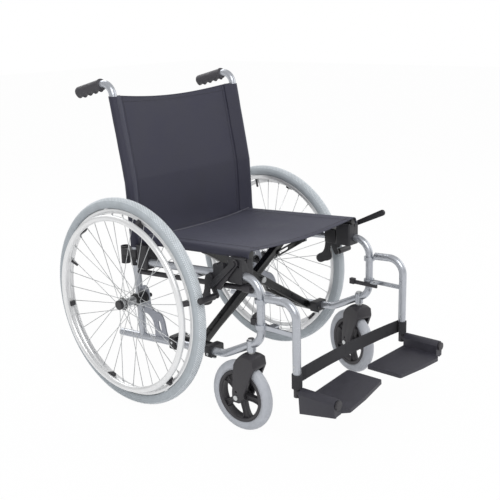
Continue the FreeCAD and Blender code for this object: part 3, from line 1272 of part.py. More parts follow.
def release_lever(side, name):
    """The black lever that frees the hanger, with a raised thumb pad at its rear end."""
    half = side * sizes.release_half
    thick = side * sizes.release_thick / 2
    low = sizes.release_height
    high = low + sizes.release_high
    lever = block(half - thick, half + thick, release_rear, release_front, low, high)
    pad_out = half - thick - side * sizes.release_pad_out
    pad = block(pad_out, half + thick, release_rear, release_rear + sizes.release_pad,
                low, low + sizes.release_pad_high)
    pin_top = high + sizes.release_ear_gap + sizes.saddle_plate
    pin = rod(at(half, release_pivot, low), at(half, release_pivot, pin_top), sizes.release_pin)
    add(f"{name}_release_lever", lever.fuse([pad, pin]).removeSplitter())


def foot_tube(side, name):
    """The black inner tube, with the footplate's hinge pin and its round cap."""
    half = side * sizes.frame_half
    top = at(half, hanger_ahead, sizes.hanger_low + sizes.foot_tube_inside - sizes.seat_clearance)
    low = at(half, hanger_ahead, sizes.foot_tube_low)
    tube = rod(low, top, sizes.foot_tube)
    cap_start = hinge_end + sizes.seat_clearance
    pin = rod(at(half, hanger_ahead, sizes.hinge_height), at(half, cap_start, sizes.hinge_height),
              sizes.hinge_pin)
    cap = rod(at(half, cap_start, sizes.hinge_height), at(half, cap_start + sizes.hinge_cap_length, sizes.hinge_height),
              sizes.hinge_cap)
    add(f"{name}_foot_tube", tube.fuse([pin, cap]).removeSplitter())


def footplate(side, name):
    """A moulded plate with a deep outer wall that hangs on a barrel round the hinge pin."""
    half = side * sizes.frame_half
    inner = side * sizes.plate_inner_half
    low = sizes.plate_top - sizes.plate_deep
    outer = half - side * sizes.barrel_radius / 2
    quarter = (outer - inner) * PLATE_CORNER_SHARE
    corner = sizes.plate_corner
    mid_front = plate_side_front + (front_reach - plate_side_front) * PLATE_CURVE_SHARE
    points = [
        at(inner, plate_rear, low),
        at(inner, plate_side_front, low),
        at(inner + quarter * 2, mid_front, low),
        at(outer - quarter / 2, front_reach, low),
        at(outer, hinge_end - corner, low),
        at(outer, plate_rear, low),
    ]
    plate = rounded_face(points, corner / 2).extrude(Z_AXIS * sizes.plate_deep)
    barrel = rod(at(half, hinge_start, sizes.hinge_height), at(half, hinge_end, sizes.hinge_height),
                 sizes.barrel_radius)
    wall_in = half - side * sizes.barrel_radius
    wall_out = half + side * sizes.housing_out
    skirt_in = wall_out - side * sizes.housing_wall
    wall = rounded_face([
        at(wall_in, hinge_start, low),
        at(wall_in, hinge_start, sizes.housing_high),
        at(wall_out, hinge_start, sizes.housing_high),
        at(wall_out, hinge_start, sizes.housing_low),
        at(skirt_in, hinge_start, sizes.housing_low),
        at(skirt_in, hinge_start, low),
    ], sizes.housing_corner).extrude(Y_AXIS * (hinge_start - hinge_end))
    piece = plate.fuse([barrel, wall])
    pin = rod(at(half, hanger_ahead, sizes.hinge_height),
              at(half, front_reach, sizes.hinge_height), sizes.hinge_pin + sizes.running_clearance)
    piece = piece.cut(pin).removeSplitter()
    piece.rotate(at(half, 0, sizes.hinge_height), Y_AXIS, side * getattr(sizes, f"{name}_plate_tilt_angle"))
    add(f"{name}_footplate", piece)


def side_rail():
    """A black rail below the right upper tube, from the rear post to the front bend."""
    half = -sizes.frame_half
    drop = sizes.side_rail_drop

    def place(ahead):
        return at(half, ahead, upper_tube_height(ahead) - drop)

    rear = place(-post_behind(sizes.upper_rear_height))
    front = place(side_rail_end)
    rail = rod(rear, front, sizes.side_rail_radius)
    rail = rail.fuse(rod(place(side_rail_end - sizes.side_rail_cap_long), front, sizes.side_rail_cap))
    stud_end = place(sizes.post_ahead)
    stud = rod(front - (stud_end - front).normalize() * sizes.cradle_wall, stud_end, sizes.side_rail_radius / 2)
    rail = rail.fuse(stud)
    rail = rail.cut(rear_upright(-1, sizes.tube_radius))
    rail = rail.cut(nodes["right_side_frame"].Shape).removeSplitter()
    add("right_side_rail", max(rail.Solids, key=lambda solid: solid.Volume))


# Seat, back and strap

def arc_strip(start, middle, end, thick, rise):
    """A face between two matching arcs, one of them moved by a thickness along rise."""
    lift = rise * thick
    low = Part.Arc(start, middle, end).toShape()
    high = Part.Arc(start + lift, middle + lift, end + lift).toShape()
    sides = [Part.LineSegment(start, start + lift).toShape(), Part.LineSegment(end, end + lift).toShape()]
    return Part.Face(Part.Wire(Part.__sortEdges__([low, high] + sides)))


def seat_sling():
    """The sling seat: it wraps both rails, sags between them and hangs down as side flaps."""
    rear = -sizes.seat_rear_behind
    centre = at(0, rear, seat_rail_height(rear))
    run = Vector(0, -1, rail_slope) * (seat_front_ahead + sizes.seat_rear_behind)
    slant = math.sqrt(1 / 2)

    def path(reach):
        """Flap, rail, sag, rail and flap, at a distance over the rails' middle."""
        rail = sizes.rail_half
        places = [
            (rail + reach, -sizes.seat_flap),
            (rail + reach, 0),
            (rail + reach * slant, reach * slant),
            (rail, reach),
            (0, reach - sizes.seat_sag),
            (-rail, reach),
            (-rail - reach * slant, reach * slant),
            (-rail - reach, 0),
            (-rail - reach, -sizes.seat_flap),
        ]
        spots = [centre + X_AXIS * x + Z_AXIS * z for x, z in places]
        edges = [Part.LineSegment(spots[0], spots[1]), Part.Arc(*spots[1:4]), Part.Arc(*spots[3:6]),
                 Part.Arc(*spots[5:8]), Part.LineSegment(spots[7], spots[8])]
        return spots[0], spots[-1], [edge.toShape() for edge in edges]

    inner = sizes.tube_radius + sizes.seat_clearance
    first_in, last_in, under = path(inner)
    first_out, last_out, over = path(inner + sizes.cloth)
    hems = [Part.LineSegment(first_in, first_out).toShape(), Part.LineSegment(last_in, last_out).toShape()]
    section = Part.Face(Part.Wire(Part.__sortEdges__(under + over + hems)))
    add("seat_sling", section.extrude(run))


def back_sling():
    """The back: sleeves round both canes and a panel between them that hangs a little back."""
    inner = sizes.tube_radius + sizes.seat_clearance
    outer = inner + sizes.cloth
    lean = (sizes.cane_top_behind - sizes.cane_bend_behind) / (sizes.cane_top_height - sizes.cane_bend_height)
    top_behind = sizes.cane_bend_behind + lean * (sizes.back_high - sizes.cane_bend_height)

    def line(half):
        return [at(half, -post_behind(sizes.back_low), sizes.back_low),
                at(half, -sizes.cane_bend_behind, sizes.cane_bend_height),
                at(half, -top_behind, sizes.back_high)]

    bend = (sizes.cane_low_bend,)
    left = line(sizes.frame_half)
    right = line(-sizes.frame_half)
    behind = Y_AXIS * (inner - sizes.cloth)
    middle = (left[0] + right[0]) * (1 / 2) + Y_AXIS * (sizes.back_sag + inner)
    strip = arc_strip(left[0] + behind, middle, right[0] + behind, sizes.cloth, Y_AXIS)
    panel = swept(strip, [(a + b) * (1 / 2) for a, b in zip(left, right)], bend)
    back = panel.fuse([bent_rod(points, bend, outer) for points in (left, right)])
    for points in (left, right):
        reach = (points[1] - points[0]).normalize() * sizes.overrun
        top_reach = (points[2] - points[1]).normalize() * sizes.overrun
        cane = bent_rod([points[0] - reach, points[1], points[2] + top_reach], bend, inner)
        back = back.cut(cane)
    add("back_sling", max(back.removeSplitter().Solids, key=lambda solid: solid.Volume))


def calf_strap(side, name):
    """Half of the calf strap: a loop round the hanger and a band to the middle."""
    half = side * sizes.frame_half
    inner = sizes.tube_radius + sizes.seat_clearance
    outer = inner + sizes.strap_thick
    centre = at(half, hanger_ahead, sizes.strap_low)
    ring = Part.Face([Part.Wire(Part.makeCircle(outer, centre, Z_AXIS)),
                      Part.Wire(Part.makeCircle(inner, centre, Z_AXIS))])
    behind = hanger_ahead - inner
    far = at(-half, behind, sizes.strap_low)
    near = at(half, behind, sizes.strap_low)
    middle = at(0, behind - sizes.strap_sag, sizes.strap_low)
    band = arc_strip(near, middle, far, sizes.strap_thick, Y_AXIS)
    keep = block(side * sizes.seat_clearance / 2, half, 0, front_reach, 0, sizes.upper_front_height)
    up = Z_AXIS * sizes.strap_high
    strap = band.extrude(up).common(keep).fuse(ring.extrude(up))
    add(f"{name}_calf_strap", strap.removeSplitter())


for side, name in SIDES:
    side_frame(side, name)
    rear_post(side, name)
    back_cane(side, name)
    grip(side, name)
    armrest_socket(side, name)
    seat_cradles(side, name)
    brace_brackets(side, name)
    axle_receiver(side, name)
    axle_button(side, name)
    tyre(side, name)
    rim(side, name)
    hand_rim(side, name)
    spoked_hub(side, name)
    castor_tyre(side, name)
    castor_wheel(side, name)
    castor_fork(side, name)
    castor_bolts(side, name)
    stay(side, name)
    brake_bracket(side, name)
    brake_lever(side, name)
    brake_handle(side, name)
    brake_shoe(side, name)
    hanger(side, name)
    release_lever(side, name)
    foot_tube(side, name)
    footplate(side, name)
    calf_strap(side, name)

braces()
side_rail()
seat_sling()
back_sling()
doc.recompute()

faults = [f"{item.Name}: {item.State}" for item in doc.Objects
          if "Invalid" in item.State or "Error" in item.State]
for name, piece in nodes.items():
    if piece.Shape.isNull() or not piece.Shape.isValid():
        faults.append(f"{name}: no valid shape")
if faults:
    raise RuntimeError("; ".join(faults))

os.makedirs("parts", exist_ok=True)
for name, piece in nodes.items():
    piece.Shape.exportStep(f"parts/{name}.step")
print(len(nodes), "nodes written")
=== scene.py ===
"""Looks for the folding wheelchair: tyres, wheels, upholstery, plastics, metals, stage and camera."""

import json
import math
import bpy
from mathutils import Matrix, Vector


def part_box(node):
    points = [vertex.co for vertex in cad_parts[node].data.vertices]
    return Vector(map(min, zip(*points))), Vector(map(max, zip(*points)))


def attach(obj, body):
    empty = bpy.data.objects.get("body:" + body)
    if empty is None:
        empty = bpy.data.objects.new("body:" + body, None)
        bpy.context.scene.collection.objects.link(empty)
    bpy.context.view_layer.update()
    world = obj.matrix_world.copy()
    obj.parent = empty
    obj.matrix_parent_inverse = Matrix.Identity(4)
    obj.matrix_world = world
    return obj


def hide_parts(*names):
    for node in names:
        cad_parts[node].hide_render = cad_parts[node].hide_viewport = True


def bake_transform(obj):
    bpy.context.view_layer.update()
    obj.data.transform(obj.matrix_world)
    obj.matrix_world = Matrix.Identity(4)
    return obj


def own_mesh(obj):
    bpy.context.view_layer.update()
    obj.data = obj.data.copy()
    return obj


bl_info = {
    "name": "Folding Wheelchair",
    "version": (1, 0, 0),
    "blender": (4, 5, 0),
    "location": "View3D > Sidebar > Wheelchair",
    "description": "Dresses a packed wheelchair frame with modelled pieces and procedural materials",
    "category": "Object",
}

import bmesh
import bpy
from bpy.props import FloatProperty, FloatVectorProperty, IntProperty, PointerProperty
from mathutils import Matrix, Vector, noise

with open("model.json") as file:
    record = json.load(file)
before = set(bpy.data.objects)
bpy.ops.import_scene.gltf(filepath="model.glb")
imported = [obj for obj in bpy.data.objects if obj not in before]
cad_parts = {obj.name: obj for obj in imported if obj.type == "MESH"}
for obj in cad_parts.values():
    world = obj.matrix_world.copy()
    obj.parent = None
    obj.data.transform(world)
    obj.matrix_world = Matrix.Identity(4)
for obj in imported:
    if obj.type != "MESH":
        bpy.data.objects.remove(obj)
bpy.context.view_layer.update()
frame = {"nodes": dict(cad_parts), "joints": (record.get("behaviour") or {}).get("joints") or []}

SIDES = ((-1, "right"), (1, "left"))
MM = 0.001
X_AXIS = Vector((1, 0, 0))
Z_AXIS = Vector((0, 0, 1))

# How far the side frames' tubes stand from the chair's middle, and the tubes' radius
FRAME_HALF = 0.251
TUBE_RADIUS = 11 * MM
# The rear axle's place along Y, from which canes, grips and calf straps are measured
AXLE_Y = 0.2005


# Sizes and colours that a user would change

def length(name, default, description):
    """A length in metres, written here in millimetres."""
    return FloatProperty(name=name, description=description, default=default * MM,
                         unit="LENGTH", precision=4)


def colour(name, default, description):
    return FloatVectorProperty(name=name, description=description, default=default,
                               subtype="COLOR", size=3, min=0, max=1)


class ChairSizes(bpy.types.PropertyGroup):
    """Sizes of the modelled pieces."""

    tyre_width: length("Tyre width", 35, "Width of the rear tyres")
    rim_radius: length("Rim radius", 275, "Outer radius of the rear rims")
    rim_inner: length("Rim inside", 260, "Inner radius of the rear rims")
    rim_width: length("Rim width", 25, "Width of the rear rims")
    knob_pitch: length("Knob pitch", 6.4, "Distance between the rows of tread knobs")
    knob_radius: length("Knob radius", 2.3, "Radius of one tread knob")
    hand_rim_radius: length("Hand rim radius", 252.5, "Middle of the hand rim's tube")
    hand_rim_tube: length("Hand rim tube", 9, "Radius of the hand rim's tube")
    hand_rim_offset: length("Hand rim offset", 31, "Hand rim outboard of the wheel's middle")
    spoke_radius: length("Spoke radius", 1, "Radius of a spoke")
    spoke_circle: length("Spoke circle", 16.5, "Radius of the spoke holes in the hub")
    outer_flange: length("Outer flange", 18, "Outer hub flange, outboard of the wheel's middle")
    inner_flange: length("Inner flange", 30, "Inner hub flange, inboard of the wheel's middle")
    castor_rim: length("Castor rim", 74, "Radius of the castors' plastic wheel")
    cloth_thick: length("Cloth", 2.2, "Thickness of the seat and back cloth")
    stitch_pitch: length("Stitch pitch", 4.2, "Distance between stitches")
    bolt_radius: length("Bolt radius", 5, "Radius of the bolt heads")
    spokes: IntProperty(name="Spokes", description="Spokes in each rear wheel", default=36, min=12, max=48)
    spoke_lean: FloatProperty(name="Spoke lean", description="How far a spoke lies back at the hub",
                              default=math.radians(62), subtype="ANGLE")


class ChairColours(bpy.types.PropertyGroup):
    """Colours of the finishes."""

    silver: colour("Silver paint", (0.47, 0.49, 0.53), "Painted frame tubes")
    plate: colour("Grey plate", (0.33, 0.345, 0.39), "Painted axle plates")
    rubber: colour("Tyre rubber", (0.42, 0.46, 0.49), "Rear tyres")
    # The tread knobs' colour is a paler copy of the tyre rubber: a painted highlight for the light that glints
    # on the knobs' tops
    knobs: colour("Tread knobs", (0.66, 0.70, 0.73), "Worn tops of the tread's knobs")
    castor: colour("Castor rubber", (0.45, 0.47, 0.51), "Castor tyres")
    plastic: colour("Charcoal plastic", (0.035, 0.033, 0.038), "Forks, castor wheels, holders and levers")
    clamp: colour("Clamp plastic", (0.018, 0.0175, 0.021), "Clamps, brakes, cradles and sockets")
    black: colour("Black paint", (0.003, 0.003, 0.0035), "Cross brace and stays")
    button: colour("Button plastic", (0.014, 0.014, 0.016), "Hub ends, flanges and axle buttons")
    bright: colour("Bright alloy", (0.83, 0.835, 0.84), "Rims and hand rims")
    steel: colour("Steel", (0.62, 0.63, 0.65), "Bolts, spokes and hub barrels")
    cloth: colour("Nylon", (0.024, 0.024, 0.043), "Seat and back")
    webbing: colour("Webbing", (0.043, 0.041, 0.05), "Calf strap")
    grip: colour("Grip rubber", (0.05, 0.048, 0.056), "Hand grips")
    plates: colour("Footplate plastic", (0.034, 0.033, 0.044), "Footplates")


def sizes():
    return bpy.context.scene.chair_sizes


def colours():
    return bpy.context.scene.chair_colours


# Mesh helpers

def middle_of(node):
    low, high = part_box(node)
    return (low + high) / 2


def put(data, name, material=None):
    """Makes an object at the origin from a mesh or a curve."""
    piece = bpy.data.objects.new(name, data)
    bpy.context.scene.collection.objects.link(piece)
    if material is not None:
        data.materials.clear()
        data.materials.append(material)
    return piece


def from_bmesh(shape, name, material):
    """Merges a shape's doubled points, turns its faces outwards and makes it an object."""
    bmesh.ops.remove_doubles(shape, verts=shape.verts, dist=MM / 100)
    bmesh.ops.recalc_face_normals(shape, faces=shape.faces)
    mesh = bpy.data.meshes.new(name)
    shape.to_mesh(mesh)
    shape.free()
    mesh.shade_smooth()
    return put(mesh, name, material)


def finished(piece):
    """Turns a piece with its modifiers into a plain mesh."""
    graph = bpy.context.evaluated_depsgraph_get()
    mesh = bpy.data.meshes.new_from_object(piece.evaluated_get(graph))
    name = piece.name
    old = piece.data
    done = put(mesh, name + "_done")
    bpy.data.objects.remove(piece)
    if old.users == 0:
        bpy.data.meshes.remove(old)
    done.name = name
    mesh.name = name
    return done


def joined(pieces, name):
    """Joins several pieces into one mesh, keeping their materials."""
    first = pieces[0]
    with bpy.context.temp_override(active_object=first, object=first, selected_objects=pieces,
                                   selected_editable_objects=pieces):
        bpy.ops.object.join()
    first.name = name
    first.data.name = name
    return first


def settle(piece, body, slot_name, *replaced):
    """Makes a finished piece ride on its body and stand for its CAD nodes."""
    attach(piece, body)
    if replaced:
        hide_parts(*replaced)
    return piece


def grid(rows, closed_across=False, closed_along=False):
    """A mesh from rows of points, joined by four-sided faces."""
    shape = bmesh.new()
    made = [[shape.verts.new(point) for point in row] for row in rows]
    count = len(made)
    across = len(made[0])
    for i in range(count if closed_along else count - 1):
        for j in range(across if closed_across else across - 1):
            shape.faces.new((made[i][j], made[(i + 1) % count][j],
                             made[(i + 1) % count][(j + 1) % across], made[i][(j + 1) % across]))
    return shape


def turned_ring(profile, centre, segments, turn=0.0):
    """A ring about the X axis from a closed profile of (sideways, radius) points."""
    rows = []
    yaw = Matrix.Rotation(turn, 3, "Z")
    for i in range(segments):
        angle = i * math.tau / segments
        row = []
        for x, r in profile:
            row.append(centre + yaw @ Vector((x, r * math.cos(angle), r * math.sin(angle))))
        rows.append(row)
    return grid(rows, closed_across=True, closed_along=True)


def mirrored(profile):
    """The same points on the other side of the middle, in the opposite order."""
    return [(-x, r) for x, r in reversed(profile)]


def in_millimetres(points):
    return [(x * MM, y * MM) for x, y in points]


def rod_rows(points, radii, sides):
    """Rings of points along a path, each turned to face along it."""
    rows = []
    count = len(points)
    side = None
    for i, point in enumerate(points):
        ahead = points[min(i + 1, count - 1)] - points[max(i - 1, 0)]
        ahead.normalize()
        if side is None:
            side = ahead.orthogonal().normalized()
        side = (side - ahead * side.dot(ahead)).normalized()
        up = ahead.cross(side)
        row = []
        for j in range(sides):
            angle = j * math.tau / sides
            row.append(point + (side * math.cos(angle) + up * math.sin(angle)) * radii[i])
        rows.append(row)
    return rows


def prism(rows):
    """A solid through rows of points that each go round it, with closed ends."""
    shape = grid(rows, closed_across=True)
    shape.verts.ensure_lookup_table()
    count = len(rows[0])
    for ring in (shape.verts[:count], shape.verts[-count:]):
        shape.faces.new(ring)
    return shape


def rod(points, radii, sides):
    """A round rod along a path with closed ends."""
    return prism(rod_rows(points, radii, sides))


def add_loop(curve, points):
    """A smooth closed line through places given in millimetres."""
    spline = curve.splines.new("BEZIER")
    spline.bezier_points.add(len(points) - 1)
    for knot, (u, v) in zip(spline.bezier_points, points):
        knot.co = (u, v, 0)
        knot.handle_left_type = "AUTO"
        knot.handle_right_type = "AUTO"
    spline.use_cyclic_u = True


def slot_points(start, end, half):
    """The outline of a slot with round ends, between two places."""
    run = (Vector(end) - Vector(start)).normalized()
    steps = 4
    points = []
    for place, first in ((end, -90), (start, 90)):
        for i in range(steps + 1):
            angle = math.radians(first + i * 180 / steps)
            way = Vector((run.x * math.cos(angle) - run.y * math.sin(angle),
                          run.x * math.sin(angle) + run.y * math.cos(angle)))
            points.append(tuple(Vector(place) + way * half))
    return points


def round_hole(ahead, height, radius):
    """A round hole for a flat plate: a slot that is almost without length."""
    return (ahead, height - 0.1), (ahead, height + 0.1), radius


def side_place(side, ahead, height):
    """A place in a side frame's plane, in millimetres ahead of the tyre's middle and over the floor."""
    return Vector((side * FRAME_HALF, middle_of("right_tyre").y - ahead * MM, height * MM))


def flat_plate(name, outline, holes, sideways, half_thick, material):
    """An upright plate from its outline, in millimetres ahead of the tyre's middle and over the floor."""
    rounding = 0.6
    curve = bpy.data.curves.new(name, "CURVE")
    curve.dimensions = "2D"
    curve.fill_mode = "BOTH"
    curve.extrude = half_thick - rounding
    curve.bevel_depth = rounding
    curve.bevel_resolution = 2
    curve.resolution_u = 6
    add_loop(curve, outline)
    for start, end, half in holes:
        add_loop(curve, slot_points(start, end, half))
    holder = put(curve, name)
    graph = bpy.context.evaluated_depsgraph_get()
    mesh = bpy.data.meshes.new_from_object(holder.evaluated_get(graph))
    bpy.data.objects.remove(holder)
    bpy.data.curves.remove(curve)
    start_y = middle_of("right_tyre").y
    mesh.transform(Matrix(((0, 0, MM, sideways), (-MM, 0, 0, start_y), (0, MM, 0, 0), (0, 0, 0, 1))))
    plate = put(mesh, name, material)
    plate.data.shade_smooth()
    sharp(plate, 35)
    return plate


def sharp(piece, degrees):
    """Marks the edges that are sharper than an angle."""
    piece.data.set_sharp_from_angle(angle=math.radians(degrees))


def rounded(piece, width, segments, degrees):
    """Rounds the edges that are sharper than an angle."""
    bevel = piece.modifiers.new("rounded", "BEVEL")
    bevel.width = width
    bevel.segments = segments
    bevel.limit_method = "ANGLE"
    bevel.angle_limit = math.radians(degrees)
    return finished(piece)


def thickened(shape, name, material, thick, offset):
    """A sheet given its thickness: all to its inner side (offset -1) or half to each side (0)."""
    piece = from_bmesh(shape, name, material)
    wall = piece.modifiers.new("thickness", "SOLIDIFY")
    wall.thickness = thick
    wall.offset = offset
    piece = finished(piece)
    piece.data.shade_smooth()
    sharp(piece, 60)
    return piece


def taper_skirt(shape):
    """Raises the front of a footplate's outer wall along its lower edge."""
    wall_starts = 0.2515
    band = 9 * MM
    rise = 20 * MM
    outer = [vert.co for vert in shape.verts if abs(vert.co.x) > wall_starts]
    bottom = min(co.z for co in outer)
    front = min(co.y for co in outer)
    rear = max(co.y for co in outer)
    for co in outer:
        if co.z < bottom + band:
            co.z += rise * (rear - co.y) / (rear - front)


def softened(node, name, material, width, body, slot_name, shaper=None):
    """A copy of a hard CAD node with rounded edges, which then stands for it."""
    shape = bmesh.new()
    shape.from_mesh(frame["nodes"][node].data)
    bmesh.ops.remove_doubles(shape, verts=shape.verts, dist=MM / 50)
    bmesh.ops.dissolve_limit(shape, angle_limit=math.radians(1.5), verts=shape.verts, edges=shape.edges)
    if shaper is not None:
        shaper(shape)
    piece = rounded(from_bmesh(shape, name, material), width * MM, 3, 32)
    piece.data.shade_smooth()
    sharp(piece, 40)
    return settle(piece, body, slot_name, node)


# Geometry node trees

def new_tree(name, sockets):
    """A tree with its inputs, by name, type and default, and the node that gives them."""
    tree = bpy.data.node_groups.new(name, "GeometryNodeTree")
    tree.interface.new_socket("Geometry", in_out="INPUT", socket_type="NodeSocketGeometry")
    for label, kind, default in sockets:
        socket = tree.interface.new_socket(label, in_out="INPUT", socket_type=kind)
        if default is not None:
            socket.default_value = default
    tree.interface.new_socket("Geometry", in_out="OUTPUT", socket_type="NodeSocketGeometry")
    return tree, tree_node(tree, "NodeGroupInput")


def end_tree(tree, start, geometry):
    """Gives the finished geometry its material and leads it out of the tree."""
    painted = tree_node(tree, "GeometryNodeSetMaterial", [
        ("Geometry", geometry), ("Material", start.outputs["Material"])])
    tree_node(tree, "NodeGroupOutput", [(0, painted.outputs[0])])
    return tree


def tree_node(tree, kind, links=(), **settings):
    """Adds a node, sets its properties and joins its inputs."""
    node = tree.nodes.new(kind)
    for key, value in settings.items():
        setattr(node, key, value)
    for socket, source in links:
        if hasattr(source, "links") or hasattr(source, "is_output"):
            tree.links.new(source, node.inputs[socket])
        else:
            node.inputs[socket].default_value = source
    return node


def use_tree(piece, tree, **inputs):
    """Runs a tree on a piece and keeps the result as a plain mesh."""
    modifier = piece.modifiers.new(tree.name, "NODES")
    modifier.node_group = tree
    for item in tree.interface.items_tree:
        key = item.name.replace(" ", "_").lower()
        if item.item_type == "SOCKET" and item.in_out == "INPUT" and key in inputs:
            modifier[item.identifier] = inputs[key]
    return finished(piece)


def turned_copies_tree():
    """Repeats a mesh round the X axis, then moves the whole ring to its place."""
    tree, start = new_tree("turned copies", (
        ("Copies", "NodeSocketInt", 6),
        ("First Turn", "NodeSocketFloat", 0.0),
        ("Yaw", "NodeSocketFloat", 0.0),
        ("Centre", "NodeSocketVector", (0.0, 0.0, 0.0)),
        ("Material", "NodeSocketMaterial", None),
    ))
    points = tree_node(tree, "GeometryNodePoints", [("Count", start.outputs["Copies"])])
    index = tree_node(tree, "GeometryNodeInputIndex")
    step = tree_node(tree, "ShaderNodeMath", [
        (0, math.tau), (1, start.outputs["Copies"])], operation="DIVIDE")
    turn = tree_node(tree, "ShaderNodeMath", [
        (0, index.outputs[0]), (1, step.outputs[0]),
        (2, start.outputs["First Turn"])], operation="MULTIPLY_ADD")
    rotation = tree_node(tree, "ShaderNodeCombineXYZ", [("X", turn.outputs[0])])
    whole = tree_node(tree, "GeometryNodeGeometryToInstance", [(0, start.outputs["Geometry"])])
    copies = tree_node(tree, "GeometryNodeInstanceOnPoints", [
        ("Points", points.outputs[0]), ("Instance", whole.outputs[0]), ("Rotation", rotation.outputs[0])])
    real = tree_node(tree, "GeometryNodeRealizeInstances", [(0, copies.outputs[0])])
    yaw = tree_node(tree, "ShaderNodeCombineXYZ", [("Z", start.outputs["Yaw"])])
    moved = tree_node(tree, "GeometryNodeTransform", [
        ("Geometry", real.outputs[0]), ("Translation", start.outputs["Centre"]),
        ("Rotation", yaw.outputs[0])])
    return end_tree(tree, start, moved.outputs[0])


def stitches_tree():
    """Lays small thread stitches along the edges of a guide mesh."""
    tree, start = new_tree("stitches", (
        ("Pitch", "NodeSocketFloat", 0.004),
        ("Stitch Length", "NodeSocketFloat", 0.003),
        ("Thread", "NodeSocketFloat", 0.0004),
        ("Material", "NodeSocketMaterial", None),
    ))
    curve = tree_node(tree, "GeometryNodeMeshToCurve", [("Mesh", start.outputs["Geometry"])])
    spaced = tree_node(tree, "GeometryNodeResampleCurve", [
        ("Curve", curve.outputs[0]), ("Length", start.outputs["Pitch"])], mode="LENGTH")
    tangent = tree_node(tree, "GeometryNodeInputTangent")
    turn = tree_node(tree, "FunctionNodeAlignRotationToVector", [("Vector", tangent.outputs[0])], axis="Z")
    stitch = tree_node(tree, "GeometryNodeMeshCylinder", [
        ("Vertices", 5), ("Radius", start.outputs["Thread"]), ("Depth", start.outputs["Stitch Length"])])
    copies = tree_node(tree, "GeometryNodeInstanceOnPoints", [
        ("Points", spaced.outputs[0]), ("Instance", stitch.outputs[0]), ("Rotation", turn.outputs[0])])
    real = tree_node(tree, "GeometryNodeRealizeInstances", [(0, copies.outputs[0])])
    return end_tree(tree, start, real.outputs[0])


def bolts_tree():
    """Puts a bolt head with a flat cone on each point, facing along the point's own direction."""
    tree, start = new_tree("bolt heads", (
        ("Radius", "NodeSocketFloat", 0.005),
        ("Head", "NodeSocketFloat", 0.003),
        ("Material", "NodeSocketMaterial", None),
    ))
    facing = tree_node(tree, "GeometryNodeInputNamedAttribute", [
        ("Name", "facing")], data_type="FLOAT_VECTOR")
    size = tree_node(tree, "GeometryNodeInputNamedAttribute", [("Name", "size")], data_type="FLOAT")
    turn = tree_node(tree, "FunctionNodeAlignRotationToVector", [("Vector", facing.outputs[0])], axis="Z")
    body = tree_node(tree, "GeometryNodeMeshCylinder", [
        ("Vertices", 20), ("Radius", start.outputs["Radius"]), ("Depth", start.outputs["Head"])])
    inner = tree_node(tree, "ShaderNodeMath", [(0, start.outputs["Radius"]), (1, 0.55)], operation="MULTIPLY")
    crown = tree_node(tree, "GeometryNodeMeshCone", [
        ("Vertices", 20), ("Radius Bottom", start.outputs["Radius"]), ("Radius Top", inner.outputs[0]),
        ("Depth", inner.outputs[0])])
    half = tree_node(tree, "ShaderNodeMath", [(0, start.outputs["Head"]), (1, 0.5)], operation="MULTIPLY")
    lift = tree_node(tree, "ShaderNodeCombineXYZ", [("Z", half.outputs[0])])
    raised = tree_node(tree, "GeometryNodeTransform", [
        ("Geometry", crown.outputs[0]), ("Translation", lift.outputs[0])])
    flat = tree_node(tree, "GeometryNodeTransform", [
        ("Geometry", raised.outputs[0]), ("Scale", (1.0, 1.0, 0.5))])
    both = tree_node(tree, "GeometryNodeJoinGeometry")
    tree.links.new(body.outputs[0], both.inputs[0])
    tree.links.new(flat.outputs[0], both.inputs[0])
    copies = tree_node(tree, "GeometryNodeInstanceOnPoints", [
        ("Points", start.outputs["Geometry"]), ("Instance", both.outputs[0]), ("Rotation", turn.outputs[0]),
        ("Scale", size.outputs[0])])
    real = tree_node(tree, "GeometryNodeRealizeInstances", [(0, copies.outputs[0])])
    return end_tree(tree, start, real.outputs[0])


def tree_named(name, maker):
    return bpy.data.node_groups.get(name) or maker()


def repeat_round(piece, copies, centre, material, first_turn=0.0, yaw=0.0):
    """Copies of a piece set evenly round an axle."""
    tree = tree_named("turned copies", turned_copies_tree)
    return use_tree(piece, tree, copies=copies, centre=tuple(centre), material=material,
                    first_turn=first_turn, yaw=yaw)


def sew(paths, name, material):
    """Stitches along several paths, as one piece."""
    shape = bmesh.new()
    for path in paths:
        made = [shape.verts.new(point) for point in path]
        for i in range(len(made) - 1):
            shape.edges.new((made[i], made[i + 1]))
    mesh = bpy.data.meshes.new(name)
    shape.to_mesh(mesh)
    shape.free()
    piece = put(mesh, name, material)
    tree = tree_named("stitches", stitches_tree)
    pitch = sizes().stitch_pitch
    return use_tree(piece, tree, pitch=pitch, stitch_length=pitch * 0.7, thread=MM * 0.45, material=material)


def bolt_heads(places, name, material):
    """Bolt heads at places, each with the way it faces and its size against the usual one."""
    mesh = bpy.data.meshes.new(name)
    mesh.from_pydata([place for place, way, size in places], [], [])
    # Each attribute is filled before the next is made, because making one moves the others
    ways = mesh.attributes.new("facing", "FLOAT_VECTOR", "POINT")
    for i, (place, way, size) in enumerate(places):
        ways.data[i].vector = way
    scales = mesh.attributes.new("size", "FLOAT", "POINT")
    for i, (place, way, size) in enumerate(places):
        scales.data[i].value = size
    piece = put(mesh, name, material)
    tree = tree_named("bolt heads", bolts_tree)
    radius = sizes().bolt_radius
    piece = use_tree(piece, tree, radius=radius, head=radius * 0.6, material=material)
    sharp(piece, 30)
    return piece


# Materials

def shader(name):
    """A new material with its main shader."""
    material = bpy.data.materials.new(name)
    material.use_nodes = True
    return material, material.node_tree, material.node_tree.nodes["Principled BSDF"]


def place_of(tree):
    """Each point's place in the chair, which every pattern is laid out by."""
    return tree_node(tree, "ShaderNodeTexCoord").outputs["Object"]


def grain(tree, scale, detail=3.0, rough=0.5):
    """Soft noise, with a scale in waves to the metre."""
    return tree_node(tree, "ShaderNodeTexNoise", [
        ("Vector", place_of(tree)), ("Scale", scale), ("Detail", detail), ("Roughness", rough)]).outputs[0]


